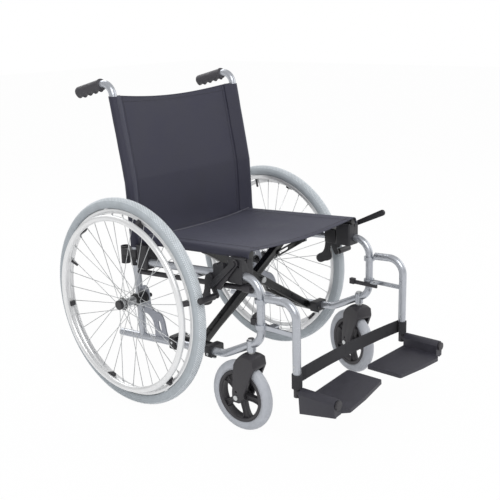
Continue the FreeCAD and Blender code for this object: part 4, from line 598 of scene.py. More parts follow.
def spread(tree, source, low, high, start=0.3, end=0.7):
    """Maps a texture's value to a range."""
    return tree_node(tree, "ShaderNodeMapRange", [
        ("Value", source), ("From Min", start), ("From Max", end), ("To Min", low), ("To Max", high)]).outputs[0]


def tinted(tree, base, source, share):
    """The base colour, a little darker and lighter with a texture."""
    ramp = tree_node(tree, "ShaderNodeValToRGB", [("Fac", source)])
    ramp.color_ramp.elements[0].position = 0.3
    ramp.color_ramp.elements[1].position = 0.7
    ramp.color_ramp.elements[0].color = (*[c * (1 - share) for c in base], 1)
    ramp.color_ramp.elements[1].color = (*[min(c * (1 + share), 1) for c in base], 1)
    return ramp.outputs[0]


def bumped(tree, surface, height, distance, strength=1.0, normal=None):
    """Relief from a texture, with its depth in millimetres, on top of an earlier one if given."""
    links = [("Height", height), ("Distance", distance * MM), ("Strength", strength)]
    if normal is not None:
        links.append(("Normal", normal))
    bump = tree_node(tree, "ShaderNodeBump", links)
    tree.links.new(bump.outputs[0], surface.inputs["Normal"])
    return bump.outputs[0]


def set_values(surface, **values):
    """Sets a shader's plain inputs, named with underscores for spaces."""
    for key, value in values.items():
        surface.inputs[key.replace("_", " ")].default_value = value


def cloudy(tree, surface, base, source, share, rough, less, more):
    """Lets one texture vary the colour by a share and the roughness from a little less to a little more."""
    tree.links.new(tinted(tree, base, source, share), surface.inputs["Base Color"])
    tree.links.new(spread(tree, source, rough - less, rough + more), surface.inputs["Roughness"])


def silver_paint(name, base, metal=0.75, rough=0.3):
    """Sprayed silver with fine flakes and a slight orange peel."""
    material, tree, surface = shader(name)
    tree.links.new(tinted(tree, base, grain(tree, 900, 2.0), 0.1), surface.inputs["Base Color"])
    varied = spread(tree, grain(tree, 35, 4.0), rough - 0.05, rough + 0.08)
    tree.links.new(varied, surface.inputs["Roughness"])
    set_values(surface, Metallic=metal, Coat_Weight=0.25, Coat_Roughness=0.15)
    bumped(tree, surface, grain(tree, 260, 2.0), 0.03)
    return material


def bright_alloy(name, base):
    """Anodised aluminium, smooth and pale, with faint clouds."""
    material, tree, surface = shader(name)
    cloudy(tree, surface, base, grain(tree, 12, 3.0), 0.03, 0.34, 0.04, 0.04)
    set_values(surface, Metallic=0.55, Coat_Weight=0.3, Coat_Roughness=0.2)
    return material


def bare_steel(name, base):
    """Plain steel with a fine grain."""
    material, tree, surface = shader(name)
    cloudy(tree, surface, base, grain(tree, 120, 4.0), 0.12, 0.28, 0.08, 0.12)
    set_values(surface, Metallic=1.0)
    bumped(tree, surface, grain(tree, 900, 2.0), 0.02)
    return material


def moulded_plastic(name, base, rough=0.5, scale=1400, depth=0.05, coat=0.0):
    """Moulded plastic with a fine eroded grain and faint cloudiness."""
    material, tree, surface = shader(name)
    cloudy(tree, surface, base, grain(tree, 45, 5.0), 0.14, rough, 0.06, 0.08)
    set_values(surface, Coat_Weight=coat, Coat_Roughness=0.3)
    fine = tree_node(tree, "ShaderNodeTexVoronoi", [("Vector", place_of(tree)), ("Scale", float(scale))])
    bumped(tree, surface, fine.outputs["Distance"], depth, 0.8)
    return material


def tyre_rubber(name, base, rough):
    """Grey rubber, a little dusty, with a fine grain."""
    material, tree, surface = shader(name)
    cloudy(tree, surface, base, grain(tree, 30, 6.0, 0.65), 0.09, rough, 0.08, 0.08)
    set_values(surface, Sheen_Weight=0.15, Sheen_Roughness=0.5)
    bumped(tree, surface, grain(tree, 1200, 3.0), 0.06)
    return material


def woven_nylon(name, base, pitch, rough=0.62):
    """A weave of two crossing bands of threads, at a fine pitch in millimetres."""
    material, tree, surface = shader(name)
    place = place_of(tree)
    # The wave texture makes 20 radians of each unit
    scale = math.tau / (pitch * MM) / 20
    bands = []
    for way in ("X", "DIAGONAL"):
        bands.append(tree_node(tree, "ShaderNodeTexWave", [
            ("Vector", place), ("Scale", scale), ("Distortion", 0.4), ("Detail", 1.0)], bands_direction=way))
    weave = tree_node(tree, "ShaderNodeMath", [
        (0, bands[0].outputs[1]), (1, bands[1].outputs[1])], operation="MULTIPLY")
    cloud = grain(tree, 9, 5.0, 0.6)
    mixed = tree_node(tree, "ShaderNodeMath", [
        (0, weave.outputs[0]), (1, 0.35), (2, cloud)], operation="MULTIPLY_ADD")
    tree.links.new(tinted(tree, base, mixed.outputs[0], 0.16), surface.inputs["Base Color"])
    tree.links.new(spread(tree, cloud, rough - 0.05, rough + 0.08), surface.inputs["Roughness"])
    set_values(surface, Sheen_Weight=0.22, Sheen_Roughness=0.4, Sheen_Tint=(0.6, 0.62, 0.75, 1))
    soft = bumped(tree, surface, grain(tree, 26, 3.0), 0.5, 0.35)
    bumped(tree, surface, weave.outputs[0], 0.12, 0.7, soft)
    return material


# Finishes, each made once from its colour

def material_named(name, maker, *details):
    return bpy.data.materials.get(name) or maker(name, *details)


def finish(name, maker, key, *details):
    """The material of a name, made from one of the chair's colours when it is first asked for."""
    return material_named(name, maker, tuple(getattr(colours(), key)), *details)


def silver():
    return finish("silver paint", silver_paint, "silver")


def grey_plate():
    return finish("grey plate", silver_paint, "plate", 0.4, 0.42)


def alloy():
    return finish("bright alloy", bright_alloy, "bright")


def steel():
    return finish("steel", bare_steel, "steel")


def charcoal():
    return finish("charcoal plastic", moulded_plastic, "plastic", 0.48)


def black_paint():
    return finish("black paint", moulded_plastic, "black", 0.3, 700, 0.03, 0.3)


def clamp_plastic():
    return finish("clamp plastic", moulded_plastic, "clamp", 0.42)


def button_plastic():
    return finish("button plastic", moulded_plastic, "button", 0.35, 900, 0.02, 0.2)


def plate_plastic():
    return finish("footplate plastic", moulded_plastic, "plates", 0.52, 1100, 0.08)


def grip_rubber():
    return finish("grip rubber", moulded_plastic, "grip", 0.6, 900, 0.1)


def thread():
    return finish("thread", moulded_plastic, "webbing", 0.6, 900, 0.03)


def nylon():
    return finish("woven nylon", woven_nylon, "cloth", 1.1)


def webbing():
    return finish("webbing", woven_nylon, "webbing", 2.2, 0.7)


# Operators, one for each piece or group of like pieces

# Steps round the rear tyres, rims and hand rims
WHEEL_SEGMENTS = 216


class ChairOperator(bpy.types.Operator):
    """What the chair's operators have in common"""

    bl_options = {"REGISTER", "UNDO"}


class MakeStage(ChairOperator):
    """Pale floor, soft lights, white surroundings and the camera"""

    bl_idname = "chair.make_stage"
    bl_label = "Stage"

    def execute(self, context):
        scene = context.scene
        scene.view_settings.view_transform = "Standard"
        self.make_floor()
        self.make_world(scene)
        self.make_lights()
        self.make_camera(scene)
        return {"FINISHED"}

    def make_floor(self):
        reach = 14.0
        mesh = bpy.data.meshes.new("floor")
        mesh.from_pydata([(-reach, -reach, 0), (reach, -reach, 0), (reach, reach, 0), (-reach, reach, 0)],
                         [], [(0, 1, 2, 3)])
        material, tree, surface = shader("pale floor")
        set_values(surface, Base_Color=(0.86, 0.86, 0.87, 1), Roughness=0.9, Specular_IOR_Level=0.0)
        path = tree_node(tree, "ShaderNodeLightPath")
        seen = tree_node(tree, "ShaderNodeMath", [
            (0, path.outputs["Is Camera Ray"]), (1, path.outputs["Is Glossy Ray"])], operation="MAXIMUM")
        share = tree_node(tree, "ShaderNodeMath", [(0, seen.outputs[0]), (1, 0.97)], operation="MULTIPLY")
        glow = tree_node(tree, "ShaderNodeEmission", [("Color", (1, 1, 1, 1)), ("Strength", 1.0)])
        mix = tree_node(tree, "ShaderNodeMixShader", [
            (0, share.outputs[0]), (1, surface.outputs[0]), (2, glow.outputs[0])])
        tree.links.new(mix.outputs[0], tree.nodes["Material Output"].inputs["Surface"])
        put(mesh, "floor", material)

    def make_world(self, scene):
        world = bpy.data.worlds.new("white surroundings")
        scene.world = world
        world.use_nodes = True
        tree = world.node_tree
        path = tree_node(tree, "ShaderNodeLightPath")
        seen = tree_node(tree, "ShaderNodeMath", [
            (0, path.outputs["Is Camera Ray"]),
            (1, path.outputs["Is Transmission Ray"])], operation="MAXIMUM")
        level = tree_node(tree, "ShaderNodeMapRange", [
            ("Value", seen.outputs[0]), ("To Min", 0.62), ("To Max", 1.0)])
        back = tree.nodes["Background"]
        back.inputs["Color"].default_value = (1, 1, 1, 1)
        tree.links.new(level.outputs[0], back.inputs["Strength"])

    def make_lights(self):
        # Name, place, size and power of each lamp
        lamps = (
            ("key", (-1.6, -2.2, 2.9), 2.2, 62.0),
            ("fill", (2.8, -1.6, 1.9), 2.4, 26.0),
            ("back", (0.6, 2.6, 2.6), 2.0, 34.0),
        )
        target = Vector((0, 0, 0.45))
        for name, place, size, power in lamps:
            lamp = bpy.data.lights.new(name, "AREA")
            lamp.size = size
            lamp.energy = power
            holder = bpy.data.objects.new(name, lamp)
            bpy.context.scene.collection.objects.link(holder)
            holder.location = place
            holder.rotation_euler = (target - Vector(place)).to_track_quat("-Z", "Y").to_euler()

    def make_camera(self, scene):
        """The photograph's view: turned 48.5 degrees to the chair's right, 15.2 degrees down."""
        turn = math.radians(-48.464)
        rise = math.radians(15.187)
        roll = math.radians(-1.372)
        back = Vector((math.sin(turn) * math.cos(rise), -math.cos(turn) * math.cos(rise), math.sin(rise)))
        right = Z_AXIS.cross(back).normalized()
        up = back.cross(right)
        level = right * math.cos(roll) + up * math.sin(roll)
        upright = up * math.cos(roll) - right * math.sin(roll)
        camera = bpy.data.cameras.new("camera")
        camera.lens = 62.858
        camera.sensor_width = 36
        camera.clip_end = 60
        holder = bpy.data.objects.new("camera", camera)
        scene.collection.objects.link(holder)
        place = Vector((-1.8702, -1.6482, 1.1001))
        holder.matrix_world = Matrix((
            (level.x, upright.x, back.x, place.x),
            (level.y, upright.y, back.y, place.y),
            (level.z, upright.z, back.z, place.z),
            (0, 0, 0, 1),
        ))
        scene.camera = holder


class MakeTyres(ChairOperator):
    """Rear tyres with a round section and a fine knobbly tread"""

    bl_idname = "chair.make_tyres"
    bl_label = "Rear Tyres"

    def execute(self, context):
        material = material_named("tyre rubber", tyre_rubber, tuple(colours().rubber), 0.62)
        for side, name in SIDES:
            self.make_tyre(name, material)
        return {"FINISHED"}

    def make_tyre(self, name, material):
        centre = middle_of(f"{name}_tyre")
        low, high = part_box(f"{name}_tyre")
        clearance = 0.25 * MM
        outer = (high.z - low.z) / 2 - clearance
        half = sizes().tyre_width / 2
        middle = outer - half
        reach = 128
        steps = 24
        profile = []
        for i in range(steps + 1):
            angle = math.radians(-reach + i * 2 * reach / steps)
            squeeze = 1.0 if abs(angle) < math.pi / 2 else 0.96
            profile.append((half * squeeze * math.sin(angle), middle + half * math.cos(angle)))
        ring = turned_ring(profile, centre, WHEEL_SEGMENTS)
        tyre = from_bmesh(ring, f"{name}_tyre_skin", material)
        knobs = self.make_knobs(name, centre, outer, half)
        piece = joined([tyre, knobs], f"{name}_tyre_skin")
        settle(piece, f"{name}_wheel", "wheel_tyre", f"{name}_tyre")

    def make_knobs(self, name, centre, outer, half):
        """One pitch of the tread, repeated round the tyre."""
        count = round(math.tau * outer / sizes().knob_pitch)
        knob = sizes().knob_radius
        shape = bmesh.new()
        middle = outer - half
        rows = 9
        apart = 11.5
        for row in range(rows):
            lean = math.radians((row - rows // 2) * apart)
            drift = 0.5 if row % 2 else 0.0
            out = Vector((math.sin(lean), 0, math.cos(lean)))
            place = Vector((0, 0, middle)) + out * (half - knob * 0.35)
            dome = bmesh.ops.create_icosphere(shape, subdivisions=1, radius=knob)["verts"]
            bmesh.ops.scale(shape, vec=(1, 1, 0.9), verts=dome)
            bmesh.ops.rotate(shape, cent=(0, 0, 0), matrix=Matrix.Rotation(lean, 3, "Y"), verts=dome)
            bmesh.ops.translate(shape, vec=place, verts=dome)
            turn = Matrix.Rotation(drift * math.tau / count, 3, "X")
            bmesh.ops.rotate(shape, cent=(0, 0, 0), matrix=turn, verts=dome)
        # The knobs take the paler tread-knob colour, a painted highlight standing in for the glints of light on
        # the tread
        highlight = material_named("worn knobs", tyre_rubber, tuple(colours().knobs), 0.5)
        base = from_bmesh(shape, f"{name}_knobs", highlight)
        return repeat_round(base, count, centre, highlight)


class MakeRims(ChairOperator):
    """Rear rims with spoke nipples and the tyre valve"""

    bl_idname = "chair.make_rims"
    bl_label = "Rims"

    def execute(self, context):
        for side, name in SIDES:
            self.make_rim(side, name)
        return {"FINISHED"}

    def make_rim(self, side, name):
        centre = middle_of(f"{name}_rim")
        half = sizes().rim_width / 2
        outer = sizes().rim_radius
        inner = sizes().rim_inner
        edge = 1.2 * MM
        outside = [(half * 0.45, inner + 0.3 * edge), (half * 0.8, inner + 2 * edge),
                   (half * 0.97, inner + 5 * edge), (half, outer - 4 * edge), (half, outer - edge),
                   (half - edge, outer)]
        channel = [(half - 2 * edge, outer - edge), (half - 2.2 * edge, outer - 5 * edge)]
        profile = mirrored(outside) + [(0, inner)] + outside
        profile += channel + [(0, outer - 6 * edge)] + mirrored(channel)
        rim = from_bmesh(turned_ring(profile, centre, WHEEL_SEGMENTS), f"{name}_rim_shell", alloy())
        sharp(rim, 50)
        nipple = rod([Vector((0, 0, inner + step * edge)) for step in (1, -3, -7)],
                     [2.6 * MM, 2.3 * MM, 1.5 * MM], 8)
        nipples = from_bmesh(nipple, f"{name}_nipples", steel())
        nipples = repeat_round(nipples, sizes().spokes, centre, steel())
        piece = joined([rim, nipples], f"{name}_rim_shell")
        settle(piece, f"{name}_wheel", "bright_metal", f"{name}_rim")
        self.make_valve(name, centre, inner, 18 if side < 0 else 78)

    def make_valve(self, name, centre, inner, degrees):
        """A short dark stem with its cap, standing in from the rim."""
        angle = math.radians(degrees)
        out = Vector((0, math.cos(angle), math.sin(angle)))
        # Millimetres out from the rim's inside, and the stem's radius there
        steps = ((2, 4.2), (-3, 4.0), (-9, 3.4), (-12, 3.6), (-24, 3.6), (-26, 2.4))
        shape = rod([centre + out * (inner + step * MM) for step, radius in steps],
                    [radius * MM for step, radius in steps], 14)
        settle(from_bmesh(shape, f"{name}_valve", charcoal()), f"{name}_wheel", "black_plastic")


class MakeSpokes(ChairOperator):
    """Hubs and crossing spokes"""

    bl_idname = "chair.make_spokes"
    bl_label = "Spokes and Hubs"

    def execute(self, context):
        for side, name in SIDES:
            self.make_wheel(side, name)
        return {"FINISHED"}

    def make_wheel(self, side, name):
        centre = middle_of(f"{name}_tyre")
        chair = sizes()
        shape = bmesh.new()
        for number in range(4):
            self.add_spoke(shape, side, number, chair)
        spokes = from_bmesh(shape, f"{name}_spokes", steel())
        spokes = repeat_round(spokes, chair.spokes // 4, centre, steel())
        low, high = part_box(f"{name}_spoked_hub")
        reach = (high.x - low.x) / 2
        inner = -chair.inner_flange
        outer = chair.outer_flange
        barrel = [(-24 * MM, 12.3 * MM), (outer - 3 * MM, 12.3 * MM), (outer + 3 * MM, 15 * MM),
                  (reach, 14 * MM), (reach, 7 * MM), (-24 * MM, 7 * MM)]
        barrel = self.turned(barrel, side, centre, f"{name}_barrel", steel())
        cap = [(inner - 2 * MM, 14.8 * MM), (inner - 2 * MM, 17 * MM)] + in_millimetres(
            [(-25, 17), (-23, 12.4), (-23, 7.2), (-27, 7.2), (-27.4, 14.8)])
        dark = [self.turned(cap, side, centre, f"{name}_hub_end", button_plastic())]
        for place, bore in ((inner, 17 * MM), (outer, 12.5 * MM)):
            half = [(1.2 * MM, 18 * MM), (1.2 * MM, bore)]
            disc = [(place + x, r) for x, r in mirrored(half) + [(0, 19 * MM)] + half]
            dark.append(self.turned(disc, side, centre, f"{name}_flange", button_plastic()))
        settle(joined(dark, f"{name}_hub_barrel"), f"{name}_wheel", "black_plastic")
        spokes = joined([spokes, barrel], f"{name}_spokes")
        settle(spokes, f"{name}_wheel", "steel", f"{name}_spoked_hub")

    def turned(self, profile, side, centre, name, material):
        """A turned part of the hub, from places outboard of the wheel's middle and radii."""
        profile = [(side * x, r) for x, r in profile]
        part = from_bmesh(turned_ring(profile, centre, 48), name, material)
        sharp(part, 35)
        return part

    def add_spoke(self, shape, side, number, chair):
        """A spoke with its bent head in the flange and its end in the rim."""
        way = side if number % 2 == 0 else -side
        flange = way * (chair.outer_flange if number % 2 == 0 else chair.inner_flange)
        step = math.tau / chair.spokes
        lean = chair.spoke_lean if number % 4 < 2 else -chair.spoke_lean
        rim_angle = number * step
        hub_angle = rim_angle + lean
        circle = chair.spoke_circle
        start = Vector((flange, circle * math.cos(hub_angle), circle * math.sin(hub_angle)))
        outer = chair.rim_inner + MM
        end = Vector((0, outer * math.cos(rim_angle), outer * math.sin(rim_angle)))
        run = (end - start).normalized()
        head = start + X_AXIS * way * 3 * MM
        points = [head, start + X_AXIS * way * MM, start + run * 3 * MM, end]
        radius = chair.spoke_radius
        sides = 6
        rows = rod_rows(points, [radius * 1.6, radius, radius, radius], sides)
        made = [[shape.verts.new(point) for point in row] for row in rows]
        for near, far in zip(made, made[1:]):
            for j in range(sides):
                after = (j + 1) % sides
                shape.faces.new((near[j], far[j], far[after], near[after]))
        shape.faces.new(made[0])
        shape.faces.new(made[-1])


class MakeHandRims(ChairOperator):
    """Bright hand rims on black holders"""

    bl_idname = "chair.make_hand_rims"
    bl_label = "Hand Rims"

    def execute(self, context):
        for side, name in SIDES:
            self.make_hand_rim(side, name)
        return {"FINISHED"}

    def make_hand_rim(self, side, name):
        wheel = middle_of(f"{name}_tyre")
        chair = sizes()
        offset = side * chair.hand_rim_offset
        steps = 20
        profile = []
        for i in range(steps):
            angle = i * math.tau / steps
            profile.append((offset + chair.hand_rim_tube * math.sin(angle),
                            chair.hand_rim_radius + chair.hand_rim_tube * math.cos(angle)))
        ring = from_bmesh(turned_ring(profile, wheel, WHEEL_SEGMENTS), f"{name}_hand_rim_tube", alloy())
        settle(ring, f"{name}_wheel", "bright_metal", f"{name}_hand_rim")
        self.make_holders(side, name, wheel, chair)

    def make_holders(self, side, name, wheel, chair):
        """Six plastic tabs from the rim out to the hand rim."""
        inner = chair.rim_inner
        tube = chair.hand_rim_radius
        half = 7 * MM
        corners = [(0, inner - 0.8 * MM), (5 * MM, inner - 0.8 * MM), (10.6 * MM, inner + 1.2 * MM),
                   (12.9 * MM, inner + 5.5 * MM), (13.2 * MM, inner + 12 * MM), (29 * MM, tube + 2 * MM),
                   (25 * MM, tube - 9 * MM), (14 * MM, inner - 13 * MM), (0, inner - 9 * MM)]
        corners = [(side * x, r) for x, r in corners]
        shape = prism([[Vector((x, y, z)) for x, z in corners] for y in (-half, half)])
        bmesh.ops.bevel(shape, geom=shape.edges[:], offset=1.2 * MM, segments=2, affect="EDGES")
        tab = from_bmesh(shape, f"{name}_rim_holders", charcoal())
        sharp(tab, 40)
        holders = repeat_round(tab, 6, wheel, charcoal(), first_turn=math.radians(18.5))
        settle(holders, f"{name}_wheel", "black_plastic")


class MakeCastors(ChairOperator):
    """Castor tyres and five-armed wheels"""

    bl_idname = "chair.make_castors"
    bl_label = "Castors"

    def execute(self, context):
        for side, name in SIDES:
            self.make_castor(name)
        return {"FINISHED"}

    def swivel_of(self, name):
        """The castor's turn, read from its axle's joint."""
        joint = next(j for j in frame["joints"] if j["name"] == f"{name}_castor_spin")
        return math.atan2(joint["axis"][1], joint["axis"][0]), Vector(joint["pos_m"])

    def make_castor(self, name):
        yaw, centre = self.swivel_of(name)
        low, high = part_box(f"{name}_castor_tyre")
        outer = (high.z - low.z) / 2
        half = 15.7 * MM
        tall = half * 0.95
        rim = sizes().castor_rim
        reach = 105
        steps = 20
        profile = [(-half * 0.84, rim + 0.3 * MM)]
        for i in range(steps + 1):
            angle = math.radians(-reach + i * 2 * reach / steps)
            profile.append((half * math.sin(angle), outer - tall + tall * math.cos(angle)))
        profile.append((half * 0.84, rim + 0.3 * MM))
        material = material_named("castor rubber", tyre_rubber, tuple(colours().castor), 0.45)
        tyre = from_bmesh(turned_ring(profile, centre, 128, yaw), f"{name}_castor_ring", material)
        settle(tyre, f"{name}_castor", "castor_rubber", f"{name}_castor_tyre")
        outside = [(4 * MM, rim - 9 * MM), (11 * MM, rim - 11 * MM), (14 * MM, rim - 9 * MM),
                   (14.5 * MM, rim - 2 * MM), (13 * MM, rim)]
        ring = mirrored(outside) + outside
        hub_outside = in_millimetres([(16, 17), (18, 15), (18, 6)])
        hub = mirrored(hub_outside) + hub_outside
        pieces = [from_bmesh(turned_ring(ring, centre, 96, yaw), f"{name}_castor_rim", charcoal()),
                  from_bmesh(turned_ring(hub, centre, 40, yaw), f"{name}_castor_hub", charcoal())]
        arm = self.make_arm(name)
        pieces.append(repeat_round(arm, 5, centre, charcoal(), first_turn=math.radians(20), yaw=yaw))
        wheel = joined(pieces, f"{name}_castor_spider")
        sharp(wheel, 40)
        settle(wheel, f"{name}_castor", "black_plastic", f"{name}_castor_wheel")

    def make_arm(self, name):
        """One arm: a web with a raised rib along each edge."""
        rib = 2.6
        slope = 0.8
        sections = []
        # Distance from the axle, half width, half depth and how far the web lies in, in millimetres
        measures = ((14, 9.5, 9, 3), (24, 8, 8, 3), (42, 7.2, 8, 4), (56, 8.5, 9, 4), (66, 13, 10, 4))
        for z, half, deep, sink in measures:
            lip = half - rib
            web = deep - sink
            row = [(-deep, -half), (-deep, -lip), (-web, -lip + slope), (-web, lip - slope), (-deep, lip),
                   (-deep, half), (deep, half), (deep, lip), (web, lip - slope), (web, -lip + slope),
                   (deep, -lip), (deep, -half)]
            sections.append([Vector((x * MM, y * MM, z * MM)) for x, y in row])
        arm = from_bmesh(prism(sections), f"{name}_castor_arm", charcoal())
        return rounded(arm, 0.8 * MM, 2, 35)


class MakeHardware(ChairOperator):
    """Plastic, painted and steel pieces: rounded edges and finishes for the CAD nodes"""

    bl_idname = "chair.make_hardware"
    bl_label = "Plastics and Metals"

    # Node, finish, radius of its edges in millimetres, body and slot
    BOTH_SIDES = (
        ("armrest_socket", clamp_plastic, 1.2, "frame", "black_plastic"),
        ("seat_cradles", clamp_plastic, 2.0, "frame", "black_plastic"),
        ("brace_brackets", clamp_plastic, 1.6, "frame", "black_plastic"),
        ("axle_receiver", clamp_plastic, 0.8, "frame", "black_plastic"),
        ("brake_lever", charcoal, 1.0, "lever", "black_metal"),
        ("brake_handle", clamp_plastic, 1.6, "handle", "black_plastic"),
        ("brake_shoe", clamp_plastic, 1.0, "shoe", "black_metal"),
        ("castor_fork", charcoal, 2.4, "fork", "black_plastic"),
        ("release_lever", charcoal, 1.2, "release", "black_plastic"),
        ("foot_tube", charcoal, 0.8, "footrest", "black_metal"),
        ("footplate", plate_plastic, 2.2, "foot_plate", "plate_plastic"),
        ("stay", black_paint, 0.7, "brace_stay", "black_metal"),
    )
    SINGLE = (
        ("brace_to_left_rail", black_paint, 1.0, "brace_a", "black_metal"),
        ("brace_to_right_rail", black_paint, 1.0, "brace_b", "black_metal"),
        ("right_side_rail", charcoal, 1.0, "right_frame", "black_metal"),
    )
    # The bracket's plate, in millimetres ahead of the tyre's middle and over the floor
    BRACKET = ((276, 421), (280, 431), (291, 434), (303, 440), (312, 452), (320, 464), (331, 468), (335, 455),
               (333, 432), (331, 408), (326, 396), (316, 392), (306, 396), (299, 405), (287, 409), (278, 413))
    BRACKET_MIDDLE = 0.267
    BLOCK_MIDDLE = 0.250

    def execute(self, context):
        for side, name in SIDES:
            for node in ("side_frame", "back_cane", "hanger"):
                self.paint(f"{name}_{node}", silver())
            self.paint(f"{name}_castor_bolts", steel())
            self.paint(f"{name}_axle_button", button_plastic())
            for part, finish_of, width, body, slot_name in self.BOTH_SIDES:
                shaper = taper_skirt if part == "footplate" else None
                self.soften(f"{name}_{part}", finish_of(), width, f"{name}_{body}", slot_name, shaper)
            self.make_bracket(side, name)
        for node, finish_of, width, body, slot_name in self.SINGLE:
            self.soften(node, finish_of(), width, body, slot_name)
        self.paint("centre_bolt", steel())
        return {"FINISHED"}

    def paint(self, node, material):
        mesh = frame["nodes"][node].data
        mesh.materials.clear()
        mesh.materials.append(material)

    def soften(self, node, material, width, body, slot_name, shaper=None):
        softened(node, f"{node}_moulding", material, width, body, slot_name, shaper)

    def make_bracket(self, side, name):
        """The brake's clamp block and its narrow waved plate."""
        holes = (round_hole(318, 404, 4.2), round_hole(286, 420, 4.2))
        plate = flat_plate(f"{name}_bracket_plate", self.BRACKET, holes, side * self.BRACKET_MIDDLE, 2.0,
                           clamp_plastic())
        piece = joined([plate, self.make_block(side, name)], f"{name}_brake_bracket_moulding")
        settle(piece, f"{name}_frame", "black_metal", f"{name}_brake_bracket")

    def make_block(self, side, name):
        """A block with rounded edges round the upper tube."""
        middle = side_place(side, 312, 435)
        middle.x = side * self.BLOCK_MIDDLE
        shape = bmesh.new()
        bmesh.ops.create_cube(shape, size=1.0)
        bmesh.ops.scale(shape, vec=Vector((30, 41, 46)) * MM, verts=shape.verts)
        bmesh.ops.translate(shape, vec=middle, verts=shape.verts)
        piece = rounded(from_bmesh(shape, f"{name}_bracket_block", clamp_plastic()), 3.5 * MM, 4, 30)
        sharp(piece, 35)
        return piece


class MakeAxlePlates(ChairOperator):
    """Rear posts with their wavy slotted axle plates"""

    bl_idname = "chair.make_axle_plates"
    bl_label = "Axle Plates"

    # In millimetres ahead of the tyre's middle and over the floor
    OUTLINE = ((-24, 326), (-11, 335), (0, 339), (10, 336), (16, 326), (19, 308), (21, 288), (27, 275),
               (39, 268), (57, 266), (68, 260), (76, 248), (80, 234), (83, 217), (87, 192), (39, 188),
               (38, 204), (35, 221), (30, 238), (19, 249), (7, 255), (-24, 257))
    # Both ends and half the width of each slot, then the axle's hole
    HOLES = (((56, 238), (61, 216), 5), ((-6, 322), (-6, 327), 3), ((-6, 270), (-6, 276), 3),
             round_hole(0, 305, 14.1))

    def execute(self, context):
        for side, name in SIDES:
            self.make_post(side, name)
        return {"FINISHED"}

    def make_post(self, side, name):
        ends = [side_place(side, -18, 178), side_place(side, -29.6, 422)]
        post = from_bmesh(rod(ends, [TUBE_RADIUS, TUBE_RADIUS], 32), f"{name}_post_tube", silver())
        sharp(post, 40)
        plate = flat_plate(f"{name}_plate", self.OUTLINE, self.HOLES, side * FRAME_HALF, 2.5, grey_plate())
        piece = joined([post, plate], f"{name}_post_and_plate")
        settle(piece, f"{name}_frame", "frame_paint", f"{name}_rear_post")


class MakeBrakeBoots(ChairOperator):
    """Boot-shaped plates over the shoes' arms and ribbed sleeves under the armrest sockets"""

    bl_idname = "chair.make_brake_boots"
    bl_label = "Brake Boots and Sleeves"

    # In millimetres ahead of the tyre's middle and over the floor
    BOOT = ((274, 424), (284, 431), (296, 427), (298, 415), (290, 398), (285, 380), (289, 366), (291, 354),
            (283, 345), (268, 340), (250, 333), (238, 337), (235, 349), (244, 359), (258, 367), (266, 380),
            (270, 402))
    BOOT_MIDDLE = 0.27205

    def execute(self, context):
        for side, name in SIDES:
            boot = flat_plate(f"{name}_shoe_boot", self.BOOT, (round_hole(286, 420, 3.2),),
                              side * self.BOOT_MIDDLE, 2.85, clamp_plastic())
            settle(boot, f"{name}_shoe", "black_metal")
            self.make_sleeve(side, name)
        return {"FINISHED"}

    def make_sleeve(self, side, name):
        """A sleeve with ribs round the top of the rear post."""
        foot = side_place(side, -28.5, 398)
        top = side_place(side, -29.6, 423)
        ribs = 4
        groove = 14.4 * MM
        rib = 16 * MM
        points = []
        radii = []
        for i in range(ribs):
            for share, radius in ((0.0, groove), (0.12, rib), (0.62, rib), (0.74, groove)):
                points.append(foot.lerp(top, (i + share) / ribs))
                radii.append(radius)
        points.append(top)
        radii.append(groove)
        sleeve = from_bmesh(rod(points, radii, 40), f"{name}_ribbed_sleeve", clamp_plastic())
        sharp(sleeve, 30)
        settle(sleeve, f"{name}_frame", "black_plastic")


class MakeGrips(ChairOperator):
    """Rubber grips with a collar, finger hollows and a closed end"""

    bl_idname = "chair.make_grips"
    bl_label = "Grips"

    def execute(self, context):
        for side, name in SIDES:
            self.make_grip(name)
        return {"FINISHED"}

    def make_grip(self, name):
        low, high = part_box(f"{name}_grip")
        x = (low.x + high.x) / 2
        # The handle falls 35 mm over 139 mm; the grip runs on past the tube's end
        lean = math.atan2(35, 139)
        behind_axle = 0.236
        end_height = 888 * MM
        along = Vector((0, math.cos(lean), -math.sin(lean)))
        under = Vector((0, -math.sin(lean), -math.cos(lean)))
        end = Vector((x, AXLE_Y + behind_axle, end_height))
        tip = end + along * 7 * MM
        start = end - along * 104 * MM
        reach = (tip - start).length
        sides = 48
        steps = 120
        rows = []
        for i in range(steps + 1):
            distance = i / steps * reach
            row = []
            for j in range(sides):
                angle = j * math.tau / sides
                radius = self.radius_at(distance, reach, math.cos(angle))
                way = under * math.cos(angle) + X_AXIS * math.sin(angle)
                row.append(start + along * distance + way * radius)
            rows.append(row)
        shape = grid(rows, closed_across=True)
        shape.verts.ensure_lookup_table()
        for ring, place in ((shape.verts[:sides], start), (shape.verts[-sides:], tip)):
            hub = shape.verts.new(place)
            for j in range(sides):
                shape.faces.new((ring[j], ring[(j + 1) % sides], hub))
        piece = from_bmesh(shape, f"{name}_grip_rubber", grip_rubber())
        sharp(piece, 55)
        settle(piece, f"{name}_frame", "grip_rubber", f"{name}_grip")

    def radius_at(self, distance, reach, down):
        """The grip's radius: a collar, four finger hollows below and a rounded end."""
        radius = 16 * MM
        collar = 8 * MM
        round_end = 6 * MM
        if distance < collar:
            lip = math.sin(math.pi * distance / collar)
            return radius + 1.4 * MM * math.sqrt(max(lip, 0))
        share = (distance - collar) / (reach - collar)
        if down > 0:
            wave = abs(math.sin(share * 4 * math.pi))
            ridge = 4.8 * MM * (1 - wave ** 0.8)
            radius += ridge * down ** 5
            radius -= 0.6 * MM * wave * down ** 3
        tail = reach - distance
        if tail < round_end:
            radius -= round_end - math.sqrt(max(round_end ** 2 - (round_end - tail) ** 2, 0))
        return radius


